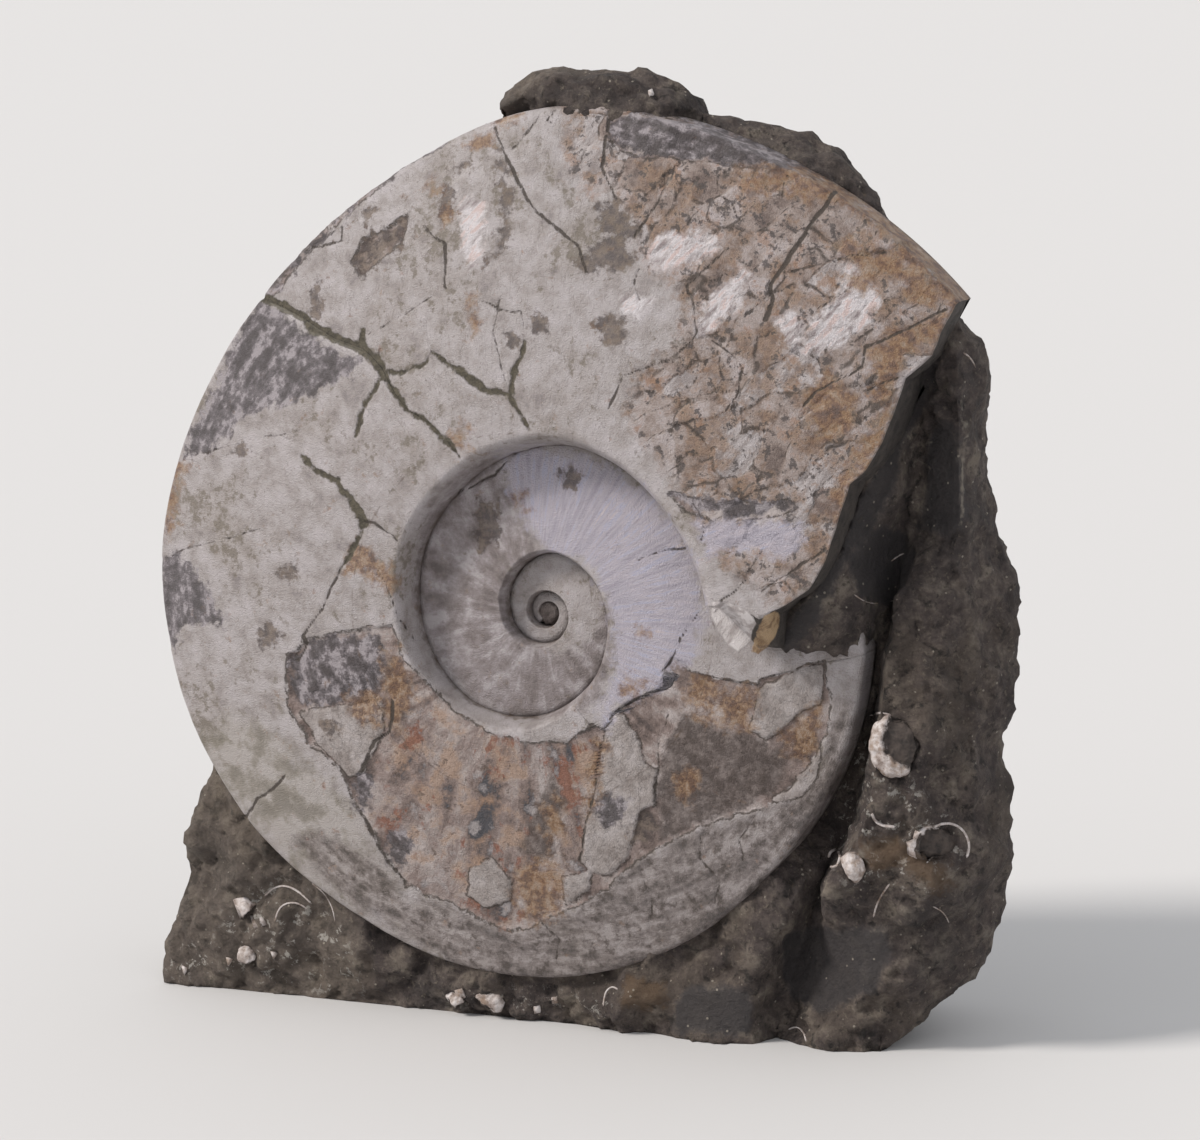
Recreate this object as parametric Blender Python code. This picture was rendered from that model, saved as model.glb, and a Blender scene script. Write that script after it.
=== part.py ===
# Ammonite in matrix.
# A large flat-coiled ammonite set in the face of a block of mudstone, which
# stands on a base that is cut flat. Metres, +Z up. The origin is on the base.
# The fossil's flat side faces -Y, and +X is to the right of someone who looks
# at it. The last part of the outermost whorl is broken away on the right, and
# left its groove in the stone.

import math

import bmesh
import bpy
from mathutils import Vector, noise
from mathutils.bvhtree import BVHTree
from mathutils.geometry import delaunay_2d_cdt

# The fossil. Whorl angles are in degrees, clockwise from twelve o'clock. The
# last whorl runs from 93 to 412, and the whorls inside it have smaller angles.
AXIS_X = -0.002
AXIS_Z = 0.176
MEDIAN_Y = -0.032

APERTURE_ANGLE = 412
LAST_WHORL_START = 94
CORE_ANGLE = -500
RIM_GROWTH = 1.70
SEAM_GROWTH = 2.60
THICKNESS_GROWTH = 1.90

RIM_READINGS = (
    (93, 0.1376), (120, 0.1395), (136, 0.1416), (156, 0.1485), (179, 0.1554),
    (215, 0.1602), (236, 0.1683), (272, 0.1765), (303, 0.1772), (318, 0.1810),
    (335, 0.1894), (348, 0.1986), (361, 0.2096), (389, 0.2125), (412, 0.2200),
    (454, 0.2340),
)
SEAM_READINGS = (
    (-143, 0.0136), (-85, 0.0154), (-39, 0.0193), (9, 0.0261), (54, 0.0285),
    (106, 0.0309), (150, 0.0363), (184, 0.0429), (217, 0.0485), (273, 0.0534),
    (325, 0.0607), (372, 0.0731), (409, 0.0743), (454, 0.0775),
)

FLANK_RISE = 0.036
FLANK_RISE_ANGLE = 360
RIM_RISE = 0.0085
RIM_ROUND = 0.0030
SHOULDER_SHARE = 0.09
FLANK_CURVE = 1.7
# The wall of the umbilicus reaches most of its height at this share of its
# width, and the flank is at its highest just outside the shoulder.
WALL_SHARE = 0.70
WALL_RISE = 0.88
CREST_SHARE = 1.03
UNDER_NEXT_SHARE = 0.94
COLUMN_STEP = 6
ROW_SPACING = 0.010
ROW_SPACING_SHARE = 0.22
CORE_DIP = 0.9

# The broken end of the last whorl, from the rim inwards: clock angle, radius.
BREAK_LINE = (
    (52.7, 0.2190), (54.2, 0.2090), (56.0, 0.2005), (56.6, 0.1880),
    (57.8, 0.1840), (60.5, 0.1745), (62.5, 0.1680), (65.0, 0.1580),
    (65.8, 0.1510), (69.5, 0.1435), (73.4, 0.1370), (76.3, 0.1330),
    (80.7, 0.1250), (83.5, 0.1140), (85.4, 0.1090), (93.0, 0.1080),
)
# The step down from that end to the whorl before it, from the break inwards.
# It meets the seam at the angle given last.
STEP_LINE = ((93.6, 0.0985), (88.0, 0.0890), (84.0, 0.0860))
STEP_WIDTH = 0.0012
STEP_END = 443
CLEAR_OF_STEP = 0.005
# Where the edge runs on from there, along the cut whorl, to the older rim.
OLD_RIM_RADII = (0.112, 0.122, 0.131)

BACK_OF_RIM = -0.023
BACK_RINGS = ((0.80, -0.008), (0.50, 0.001), (0.18, 0.003))
GAP = 0.0004
ROOM_FRONT = -0.15

# The block. Front outline and relief lines are points (x, y, z), read from
# the photograph by eye and set back to the depth that each has.
BLOCK_CENTRE = Vector((0.0, 0.0, 0.190))
BLOCK_RINGS = ((0.050, 0.022), (0.095, 0.046), (0.160, 0.062))
BACK_Y = 0.069
BACK_SPACING = 0.032
BACK_MARGIN = 0.45
BACK_JITTER = 0.3
BACK_WAVE = 0.2
TOP_BEHIND_KNOB = 0.374

BASE_FRONT = (
    (-0.187, -0.021, 0.000), (-0.150, -0.023, 0.000), (-0.110, -0.025, 0.000),
    (-0.062, -0.027, 0.000), (-0.009, -0.029, 0.000), (0.036, -0.034, 0.000),
    (0.070, -0.039, 0.000), (0.0885, -0.037, 0.000), (0.094, -0.021, 0.000),
    (0.101, -0.025, 0.000), (0.109, -0.034, 0.000), (0.128, -0.037, 0.000),
    (0.143, -0.032, 0.000),
)
RIGHT_SIDE = (
    (0.158, -0.016, 0.009), (0.168, -0.002, 0.021), (0.178, 0.002, 0.038),
    (0.186, 0.002, 0.062), (0.188, 0.000, 0.082), (0.186, 0.000, 0.119),
    (0.187, 0.000, 0.162), (0.190, 0.000, 0.193), (0.182, 0.000, 0.215),
    (0.177, -0.002, 0.236), (0.175, -0.006, 0.258), (0.179, -0.010, 0.276),
    (0.174, -0.014, 0.292), (0.163, -0.020, 0.305),
)
TOP_SIDE = (
    (0.150, -0.014, 0.322), (0.135, -0.010, 0.342), (0.123, -0.008, 0.360),
    (0.111, -0.008, 0.371), (0.092, -0.010, 0.376), (0.072, -0.012, 0.380),
    (0.058, -0.016, 0.382), (0.054, -0.018, 0.392), (0.040, -0.018, 0.400),
    (0.019, -0.018, 0.4015), (-0.002, -0.018, 0.402), (-0.018, -0.020, 0.398),
    (-0.028, -0.022, 0.391), (-0.029, -0.024, 0.380),
)
LEFT_SIDE = (
    (-0.050, -0.014, 0.372), (-0.080, -0.012, 0.352), (-0.112, -0.012, 0.322),
    (-0.140, -0.012, 0.290), (-0.160, -0.012, 0.250), (-0.171, -0.012, 0.210),
    (-0.174, -0.013, 0.170), (-0.171, -0.014, 0.130), (-0.167, -0.016, 0.098),
    (-0.173, -0.017, 0.080), (-0.181, -0.018, 0.045), (-0.187, -0.019, 0.020),
)
RELIEF_LINES = {
    "stone along the left of the rim": (
        (-0.148, -0.027, 0.098), (-0.128, -0.030, 0.074), (-0.104, -0.032, 0.052),
        (-0.076, -0.033, 0.034), (-0.045, -0.034, 0.024), (-0.010, -0.035, 0.019),
        (0.024, -0.036, 0.021), (0.054, -0.037, 0.032),
    ),
    "lower left face": (
        (-0.172, -0.024, 0.055), (-0.150, -0.029, 0.050), (-0.122, -0.031, 0.034),
        (-0.086, -0.033, 0.017), (-0.040, -0.035, 0.010), (0.006, -0.037, 0.009),
        (0.042, -0.041, 0.014),
    ),
    "apron crest": (
        (0.1055, -0.035, 0.063), (0.099, -0.039, 0.049), (0.0925, -0.041, 0.030),
        (0.0895, -0.040, 0.012), (0.0885, -0.037, 0.000),
    ),
    "apron face": ((0.060, -0.041, 0.020), (0.077, -0.039, 0.043)),
    "groove beside the rim": (
        (0.155, -0.022, 0.274), (0.151, -0.018, 0.250), (0.147, -0.014, 0.228),
        (0.142, -0.012, 0.206), (0.140, -0.011, 0.178), (0.137, -0.011, 0.150),
        (0.132, -0.012, 0.118), (0.122, -0.013, 0.090), (0.112, -0.014, 0.067),
        (0.104, -0.015, 0.046), (0.098, -0.017, 0.024), (0.0945, -0.019, 0.010),
        (0.094, -0.021, 0.000),
    ),
    "mould of the living chamber": (
        (0.163, -0.029, 0.284), (0.162, -0.027, 0.264), (0.161, -0.026, 0.242),
        (0.160, -0.026, 0.220),
    ),
    "edge of the mould": (
        (0.171, -0.034, 0.288), (0.172, -0.035, 0.270), (0.173, -0.034, 0.250),
        (0.173, -0.033, 0.222),
    ),
    "crest of the right lump": (
        (0.170, -0.032, 0.208), (0.157, -0.035, 0.196), (0.149, -0.041, 0.182),
        (0.145, -0.048, 0.156), (0.144, -0.051, 0.126), (0.139, -0.052, 0.100),
        (0.130, -0.049, 0.078), (0.121, -0.043, 0.064),
    ),
    "middle of the right lump": (
        (0.176, -0.029, 0.192), (0.167, -0.037, 0.172), (0.164, -0.042, 0.146),
        (0.163, -0.045, 0.112), (0.161, -0.045, 0.086), (0.155, -0.041, 0.064),
        (0.158, -0.033, 0.040), (0.150, -0.032, 0.022),
    ),
    "right shoulder of the lump": (
        (0.181, -0.020, 0.180), (0.179, -0.024, 0.150), (0.179, -0.026, 0.112),
        (0.178, -0.024, 0.078), (0.172, -0.019, 0.048),
    ),
    "hollow low on the lump": (
        (0.118, -0.028, 0.052), (0.117, -0.028, 0.037), (0.112, -0.029, 0.022),
    ),
    "hollow's right edge": (
        (0.132, -0.039, 0.059), (0.140, -0.039, 0.042), (0.133, -0.038, 0.020),
        (0.114, -0.036, 0.011),
    ),
    "stone against the broken end": (
        (0.165, -0.032, 0.298), (0.156, -0.032, 0.280), (0.149, -0.034, 0.256),
        (0.143, -0.040, 0.242), (0.136, -0.046, 0.228), (0.131, -0.050, 0.210),
        (0.128, -0.050, 0.197), (0.121, -0.052, 0.186), (0.112, -0.053, 0.179),
    ),
    "wedge above the older rim": (
        (0.110, -0.051, 0.171), (0.122, -0.047, 0.170), (0.1335, -0.040, 0.171),
        (0.1345, -0.038, 0.190),
    ),
    "foot of the knob": (
        (0.046, -0.033, 0.386), (0.020, -0.036, 0.389), (-0.008, -0.035, 0.389),
        (-0.024, -0.032, 0.384),
    ),
    "knob face": (
        (0.034, -0.031, 0.394), (0.006, -0.032, 0.396), (-0.016, -0.029, 0.392),
    ),
    "strip over the rim": (
        (0.118, -0.021, 0.355), (0.098, -0.024, 0.366), (0.078, -0.025, 0.374),
    ),
    "under the fossil": (
        (-0.110, -0.020, 0.180), (-0.060, -0.020, 0.280), (0.060, -0.020, 0.280),
        (0.030, -0.020, 0.120), (-0.060, -0.020, 0.090), (0.000, -0.020, 0.200),
    ),
}
LONGEST_EDGE = 0.030
FINEST_EDGE = 0.0165
LUMP_SIZE = 0.045
LUMP_HEIGHT = 0.0040
LUMP_SEED = Vector((3, 1, 7))
CHIP_SIZE = 0.017
CHIP_HEIGHT = 0.0022
CHIP_SEED = Vector((9, 4, 2))
JITTER_SCALE = 40
ABOVE_BASE = 0.0005
SHARP_ANGLE = 35

# Small fossils: place on the face (x, z), width, height, thickness, share sunk.
SMALL_FOSSILS = {
    "small_ammonite": (0.1515, 0.1310, 0.021, 0.025, 0.010, 0.60),
    "pearl_shell": (0.1340, 0.0805, 0.011, 0.012, 0.008, 0.50),
    "curled_shell": (0.1655, 0.0905, 0.022, 0.016, 0.008, 0.60),
    "base_shell_left": (-0.0450, 0.0065, 0.010, 0.009, 0.008, 0.50),
    "base_shell_right": (-0.0300, 0.0075, 0.014, 0.011, 0.010, 0.50),
    "chip_triangle": (-0.1460, 0.0370, 0.009, 0.008, 0.006, 0.50),
    "chip_round": (-0.1460, 0.0160, 0.009, 0.009, 0.006, 0.50),
}
LENS_SIDES = 10
LENS_RINGS = 7
# The small fossils lean this much towards the viewer from the stone's slope.
LEAN_TO_FRONT = Vector((0, -0.6, 0))
IN_FRONT = -0.3

PALE_SHELL = ("pale shell", (0.40, 0.35, 0.31), 0.55)
MUDSTONE = ("mudstone", (0.09, 0.08, 0.07), 0.90)
NACRE = ("nacre", (0.70, 0.66, 0.60), 0.35)


def reading(points, at):
    """The radius at an angle: nearby straight-line readings, averaged."""
    total = 0.0
    spread = (-6, -3, 0, 3, 6)
    for step in spread:
        angle = min(max(at + step, points[0][0]), points[-1][0])
        for (a0, r0), (a1, r1) in zip(points, points[1:]):
            if a0 <= angle <= a1:
                total += r0 + (r1 - r0) * (angle - a0) / (a1 - a0)
                break
    return total / len(spread)


def rim_radius(angle):
    if angle < RIM_READINGS[0][0]:
        return rim_radius(angle + 360) / RIM_GROWTH
    return reading(RIM_READINGS, angle)


def seam_radius(angle):
    if angle < SEAM_READINGS[0][0]:
        return seam_radius(angle + 360) / SEAM_GROWTH
    return reading(SEAM_READINGS, angle)


def shoulder_radius(angle):
    return seam_radius(angle) * (1 + SHOULDER_SHARE)


def flank_rise(angle):
    return FLANK_RISE * THICKNESS_GROWTH ** ((angle - FLANK_RISE_ANGLE) / 360)


def rim_rise(angle):
    return RIM_RISE * THICKNESS_GROWTH ** min((angle - APERTURE_ANGLE) / 720, 0)


def flank_height(angle, radius):
    """How far a whorl's side stands out from the fossil's middle plane."""
    shoulder = shoulder_radius(angle)
    share = (radius - shoulder) / (rim_radius(angle) - shoulder)
    share = min(max(share, 0), 1)
    edge = rim_rise(angle)
    return edge + (flank_rise(angle) - edge) * (1 - share ** FLANK_CURVE)


def on_fossil(clock, radius, height):
    turn = math.radians(clock)
    return Vector((AXIS_X + radius * math.sin(turn), MEDIAN_Y - height,
                   AXIS_Z + radius * math.cos(turn)))


def whorl_rows(angle):
    """Points of one radial cut of a whorl, from its seam to its outer limit."""
    seam, shoulder = seam_radius(angle), shoulder_radius(angle)
    rise = flank_rise(angle)
    foot = flank_height(angle - 360, seam)
    rows = [(seam, foot)]
    rows.append((seam + (shoulder - seam) * WALL_SHARE, foot + (rise - foot) * WALL_RISE))
    crest = shoulder * CREST_SHARE
    if angle >= LAST_WHORL_START:
        limit = rim_radius(angle) - RIM_ROUND
    else:
        limit = seam_radius(angle + 360) * UNDER_NEXT_SHARE
    spacing = ROW_SPACING + shoulder * ROW_SPACING_SHARE
    steps = max(1, round((limit - crest) / spacing))
    for step in range(steps + 1):
        radius = crest + (limit - crest) * step / steps
        rows.append((radius, flank_height(angle, radius)))
    return rows


def inside(outline, point):
    """Whether a plan point lies inside a closed plan outline."""
    hit = False
    for (x0, z0), (x1, z1) in zip(outline, outline[1:] + outline[:1]):
        if (z0 > point[1]) != (z1 > point[1]):
            if point[0] < (x1 - x0) * (point[1] - z0) / (z1 - z0) + x0:
                hit = not hit
    return hit


def distance_to(outline, point):
    """Plan distance from a point to a closed outline."""
    best = 1.0
    here = Vector(point)
    for start, end in zip(outline, outline[1:] + outline[:1]):
        a, b = Vector(start), Vector(end)
        along = max(0, min(1, (here - a).dot(b - a) / (b - a).length_squared))
        best = min(best, (here - a - (b - a) * along).length)
    return best


def plan(point):
    return (point[0], point[2])


def fossil_outline():
    """The fossil's edge seen from the front, clockwise, as points at height."""
    edge = []
    for angle in range(LAST_WHORL_START, APERTURE_ANGLE, COLUMN_STEP):
        edge.append(on_fossil(angle, rim_radius(angle), RIM_RISE - RIM_ROUND))
    for clock, radius in BREAK_LINE:
        height = flank_height(clock + 360, radius)
        edge.append(on_fossil(clock, radius, height))
    for radius in OLD_RIM_RADII:
        edge.append(on_fossil(LAST_WHORL_START, radius,
                              flank_height(LAST_WHORL_START, radius)))
    return edge


class Relief:
    """Points with heights, joined by lines, which become a triangulated face."""

    def __init__(self):
        self.points = []
        self.lines = []

    def add_line(self, points, closed=False):
        first = len(self.points)
        self.points += points
        count = len(points)
        for i in range(count if closed else count - 1):
            self.lines.append((first + i, first + (i + 1) % count))

    def build(self, bm):
        """Triangulate inside the closed lines and return the new vertices."""
        flat = [Vector(plan(point)) for point in self.points]
        found = delaunay_2d_cdt(flat, self.lines, [], 1, 1e-5)
        places, triangles, origins = found[0], found[2], found[3]
        verts = []
        for place, origin in zip(places, origins):
            height = self.points[origin[0]][1]
            verts.append(bm.verts.new((place[0], height, place[1])))
        for triangle in triangles:
            bm.faces.new([verts[i] for i in triangle])
        loose = [v for v in verts if not v.link_faces]
        bmesh.ops.delete(bm, geom=loose, context="VERTS")
        return [v for v in verts if v.is_valid]


def boundary(bm):
    return [edge for edge in bm.edges if edge.is_boundary]


def pull_back(bm, place):
    """Draw the open edge on by one ring, each new point placed by a function."""
    drawn = bmesh.ops.extrude_edge_only(bm, edges=boundary(bm))["geom"]
    for vert in (item for item in drawn if isinstance(item, bmesh.types.BMVert)):
        vert.co = place(vert.co)


def close_with_point(bm, y):
    """Close the last ring with a fan to a point in its middle."""
    edges = boundary(bm)
    rim = {vert for edge in edges for vert in edge.verts}
    middle = sum((vert.co for vert in rim), Vector()) / len(rim)
    tip = bm.verts.new((middle.x, y, middle.z))
    for edge in edges:
        bm.faces.new((edge.verts[0], edge.verts[1], tip))


def new_object(name, bm, look, collection, smooth=True):
    bmesh.ops.recalc_face_normals(bm, faces=bm.faces)
    mesh = bpy.data.meshes.new(name)
    bm.to_mesh(mesh)
    bm.free()
    if smooth:
        mesh.shade_smooth()
        mesh.set_sharp_from_angle(angle=math.radians(SHARP_ANGLE))
    thing = bpy.data.objects.new(name, mesh)
    collection.objects.link(thing)
    if look:
        mesh.materials.append(material(*look))
    return thing


def material(name, colour, roughness):
    made = bpy.data.materials.get(name)
    if made is None:
        made = bpy.data.materials.new(name)
        made.use_nodes = True
        shader = made.node_tree.nodes["Principled BSDF"]
        shader.inputs["Base Color"].default_value = (*colour, 1)
        shader.inputs["Roughness"].default_value = roughness
        made.diffuse_color = (*colour, 1)
    return made


def towards_axis(share, y):
    def place(point):
        return Vector((AXIS_X + (point.x - AXIS_X) * share, y,
                       AXIS_Z + (point.z - AXIS_Z) * share))
    return place


def make_ammonite(collection):
    relief = Relief()
    edge = fossil_outline()
    outline = [plan(point) for point in edge]
    relief.add_line(edge, closed=True)

    step_top, step_foot = [], []
    for clock, radius in STEP_LINE:
        step_top.append(on_fossil(clock, radius, flank_height(clock + 360, radius)))
        clear = radius - STEP_WIDTH * 0.5
        clock += math.degrees(STEP_WIDTH / radius)
        step_foot.append(on_fossil(clock, clear, flank_height(clock, clear)))
    for radius, height in reversed(whorl_rows(STEP_END)[:2]):
        step_top.append(on_fossil(STEP_END, radius, height))
    relief.add_line(step_top)
    relief.add_line(step_foot)
    kept_off = [plan(point) for point in step_top + step_foot]

    seam_line, wall_line, shoulder_line, others = [], [], [], []
    for angle in range(CORE_ANGLE, 441, COLUMN_STEP):
        step = COLUMN_STEP if angle > -200 else COLUMN_STEP * 2
        if (angle - CORE_ANGLE) % step:
            continue
        rows = [on_fossil(angle, r, h) for r, h in whorl_rows(angle)]
        seam_line.append(rows[0])
        wall_line.append(rows[1])
        shoulder_line.append(rows[2])
        others += rows[3:]
    for line in (seam_line, wall_line, shoulder_line):
        relief.add_line(line)
    for point in others:
        here = plan(point)
        near_step = any((Vector(here) - Vector(p)).length < CLEAR_OF_STEP
                        for p in kept_off)
        if inside(outline, here) and not near_step:
            relief.points.append(point)
    relief.points.append(on_fossil(0, 0, flank_height(CORE_ANGLE, 0) * CORE_DIP))

    bm = bmesh.new()
    relief.build(bm)
    pull_back(bm, lambda point: Vector((point.x, BACK_OF_RIM, point.z)))
    for share, y in BACK_RINGS:
        pull_back(bm, towards_axis(share, y))
    close_with_point(bm, BACK_RINGS[-1][1])
    return new_object("ammonite", bm, PALE_SHELL, collection)


def grown(points, gap):
    """A plan outline moved outwards by a gap."""
    moved = []
    count = len(points)
    for i, point in enumerate(points):
        before, after = Vector(points[i - 1]), Vector(points[(i + 1) % count])
        here = Vector(point)
        out = Vector((0, 0))
        for start, end in ((before, here), (here, after)):
            side = (end - start).normalized()
            out += Vector((-side.y, side.x))
        out.normalize()
        side = (here - before).normalized()
        reach = gap / max(0.4, out.dot(Vector((-side.y, side.x))))
        moved.append(here + out * reach)
    return moved


def make_fossil_cutter(collection):
    """The room that the fossil takes in the block, open to the front."""
    bm = bmesh.new()
    outline = grown([plan(point) for point in fossil_outline()], GAP)
    face = bm.faces.new([bm.verts.new((x, ROOM_FRONT, z)) for x, z in outline])
    bmesh.ops.triangulate(bm, faces=[face])
    pull_back(bm, lambda point: Vector((point.x, BACK_OF_RIM + GAP, point.z)))
    for share, y in BACK_RINGS:
        pull_back(bm, towards_axis(share, y + GAP * 2))
    close_with_point(bm, BACK_RINGS[-1][1] + GAP * 2)
    return new_object("fossil room", bm, None, collection, smooth=False)


def ring_point(point, share, y):
    """An outline point drawn nearer the block's middle, at another depth."""
    x = BLOCK_CENTRE.x + (point[0] - BLOCK_CENTRE.x) * (1 - share)
    z = point[2]
    if z > ABOVE_BASE:
        z = BLOCK_CENTRE.z + (min(z, TOP_BEHIND_KNOB) - BLOCK_CENTRE.z) * (1 - share)
    return Vector((x, y, max(z, 0)))


def ring_points(outline, share, y):
    return [ring_point(point, share, y) for point in outline]


def bridge(bm, ring, next_ring):
    """Join two rings of places, point by point."""
    verts = [[bm.verts.new(place) for place in each] for each in (ring, next_ring)]
    count = len(ring)
    for i in range(count):
        j = (i + 1) % count
        bm.faces.new((verts[0][i], verts[0][j], verts[1][j], verts[1][i]))


def back_relief(ring):
    """The block's rough back: its last ring filled with a jittered grid."""
    relief = Relief()
    relief.add_line(ring, closed=True)
    outline = [plan(point) for point in ring]
    columns = range(-6, 7)
    for row in range(1, 12):
        for column in columns:
            x = (column + 0.5 * (row % 2)) * BACK_SPACING
            z = row * BACK_SPACING
            shift = noise.noise_vector(Vector((x, BACK_Y, z)) * JITTER_SCALE)
            shift *= BACK_SPACING * BACK_JITTER
            here = (x + shift.x, z + shift.z)
            clear = distance_to(outline, here) > BACK_SPACING * BACK_MARGIN
            if clear and inside(outline, here):
                y = BACK_Y + shift.y * BACK_WAVE
                relief.points.append(Vector((here[0], y, here[1])))
    return relief


def split_long_edges(bm, limit):
    """Halve every edge longer than a limit, again until none is left."""
    while True:
        long_edges = [e for e in bm.edges if e.calc_length() > limit(e)]
        if not long_edges:
            return
        bmesh.ops.subdivide_edges(bm, edges=long_edges, cuts=1)
        bmesh.ops.triangulate(bm, faces=bm.faces)


def edge_limit(edge):
    middle = (edge.verts[0].co + edge.verts[1].co) / 2
    if middle.y > 0.015:
        return LONGEST_EDGE
    radius = math.hypot(middle.x - AXIS_X, middle.z - AXIS_Z)
    return LONGEST_EDGE if radius < 0.110 else FINEST_EDGE


def roughen(bm):
    """Move the stone's points in and out in lumps and chips; the base stays."""
    bm.normal_update()
    moves = {}
    for vert in bm.verts:
        if vert.co.z < ABOVE_BASE:
            continue
        lump = noise.noise(vert.co / LUMP_SIZE + LUMP_SEED) * LUMP_HEIGHT
        chip = noise.noise(vert.co / CHIP_SIZE + CHIP_SEED) * CHIP_HEIGHT
        moves[vert] = vert.normal * (lump + chip)
    for vert, move in moves.items():
        vert.co += move
        vert.co.z = max(vert.co.z, ABOVE_BASE)


def make_block_mesh():
    relief = Relief()
    outline = BASE_FRONT + RIGHT_SIDE + TOP_SIDE + LEFT_SIDE
    relief.add_line([Vector(point) for point in outline], closed=True)
    for line in RELIEF_LINES.values():
        relief.add_line([Vector(point) for point in line])
    bm = bmesh.new()
    relief.build(bm)
    rings = [outline] + [ring_points(outline, share, y) for share, y in BLOCK_RINGS]
    for ring, next_ring in zip(rings, rings[1:]):
        bridge(bm, ring, next_ring)
    back_relief(rings[-1]).build(bm)
    bmesh.ops.remove_doubles(bm, verts=bm.verts, dist=0.0001)
    bmesh.ops.triangulate(bm, faces=bm.faces)
    bmesh.ops.recalc_face_normals(bm, faces=bm.faces)
    split_long_edges(bm, edge_limit)
    roughen(bm)
    return bm


def lens(size, seat, facing, grow=0.0):
    """A squashed ball that lies on the stone with its flat side along it."""
    width, height, thickness = size
    bm = bmesh.new()
    bmesh.ops.create_uvsphere(bm, u_segments=LENS_SIDES,
                              v_segments=LENS_RINGS, radius=0.5)
    turn = facing.to_track_quat("Z", "Y").to_matrix()
    for vert in bm.verts:
        local = Vector((vert.co.x * (width + grow), vert.co.y * (height + grow),
                        vert.co.z * (thickness + grow)))
        vert.co = seat + turn @ local
        vert.co.z = max(vert.co.z, ABOVE_BASE - grow / 2)
    return bm


def cut(target, cutter):
    modifier = target.modifiers.new("cut " + cutter.name, "BOOLEAN")
    modifier.operation = "DIFFERENCE"
    modifier.solver = "EXACT"
    modifier.object = cutter


def hide_cutter(cutter):
    cutter.hide_render = True
    cutter.display_type = "WIRE"


def make_all():
    for old in list(bpy.data.objects):
        bpy.data.objects.remove(old)
    scene = bpy.context.scene
    parts = bpy.data.collections.new("ammonite in matrix")
    cutters = bpy.data.collections.new("cutters")
    scene.collection.children.link(parts)
    scene.collection.children.link(cutters)

    make_ammonite(parts)
    block = make_block_mesh()
    face = BVHTree.FromBMesh(block)
    matrix = new_object("matrix", block, MUDSTONE, parts)
    room = make_fossil_cutter(cutters)
    hide_cutter(room)
    cut(matrix, room)

    for name, (x, z, width, height, thickness, sunk) in SMALL_FOSSILS.items():
        seat, normal, _, _ = face.ray_cast(Vector((x, IN_FRONT, z)), Vector((0, 1, 0)))
        facing = (normal + LEAN_TO_FRONT).normalized()
        seat = seat - facing * thickness * (sunk - 0.5)
        size = (width, height, thickness)
        new_object(name, lens(size, seat, facing), NACRE, parts)
        socket = new_object("socket " + name, lens(size, seat, facing, GAP * 2),
                            None, cutters, smooth=False)
        hide_cutter(socket)
        cut(matrix, socket)


make_all()
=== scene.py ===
# Ammonite in matrix: the looks.
# The large fossil is made of three swept shell pieces, each ending where the
# real shell is cracked or flaked. The stone is a finer, rougher copy of the
# frame's block. Cracks, stains and flaked places are outlines read from
# the photograph, in its pixels, and laid on the surfaces through its camera.

import math
import operator

import bmesh
import bpy
import numpy as np
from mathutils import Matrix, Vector, noise
from mathutils.bvhtree import BVHTree


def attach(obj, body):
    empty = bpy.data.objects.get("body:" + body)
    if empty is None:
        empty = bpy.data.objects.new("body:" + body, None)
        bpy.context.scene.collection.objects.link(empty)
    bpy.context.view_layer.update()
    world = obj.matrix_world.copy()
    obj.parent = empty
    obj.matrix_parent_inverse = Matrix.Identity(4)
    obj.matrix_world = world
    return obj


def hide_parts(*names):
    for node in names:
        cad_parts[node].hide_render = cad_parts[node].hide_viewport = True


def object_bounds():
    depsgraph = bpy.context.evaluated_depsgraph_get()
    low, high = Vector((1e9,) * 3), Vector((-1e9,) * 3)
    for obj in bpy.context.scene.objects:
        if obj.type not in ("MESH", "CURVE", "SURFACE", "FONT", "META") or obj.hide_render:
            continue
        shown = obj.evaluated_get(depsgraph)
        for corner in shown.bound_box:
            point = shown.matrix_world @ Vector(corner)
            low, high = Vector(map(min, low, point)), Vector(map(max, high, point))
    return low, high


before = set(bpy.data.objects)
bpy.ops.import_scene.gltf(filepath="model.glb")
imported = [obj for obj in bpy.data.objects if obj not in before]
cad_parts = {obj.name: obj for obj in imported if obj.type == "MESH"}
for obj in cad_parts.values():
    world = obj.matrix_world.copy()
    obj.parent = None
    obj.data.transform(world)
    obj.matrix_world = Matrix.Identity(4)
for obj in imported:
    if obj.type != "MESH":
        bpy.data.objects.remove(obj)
cad_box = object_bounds()

# Vector noise takes its offsets from this seed, and from the clock without one.
noise.seed_set(11)

# The photograph's camera, with the ways to its eye and to its right.
TARGET = Vector((0.034, -0.072, 0.200))
AZIMUTH, ELEVATION = math.radians(20), math.radians(8)
DISTANCE = 1.7
FOCAL_PIXELS = 4216
IMAGE_WIDTH, IMAGE_HEIGHT = 1200, 1140
SENSOR = 36
TO_EYE = (math.sin(AZIMUTH) * math.cos(ELEVATION),
          -math.cos(AZIMUTH) * math.cos(ELEVATION), math.sin(ELEVATION))
TO_RIGHT = (math.cos(AZIMUTH), math.sin(AZIMUTH), 0.0)

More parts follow.
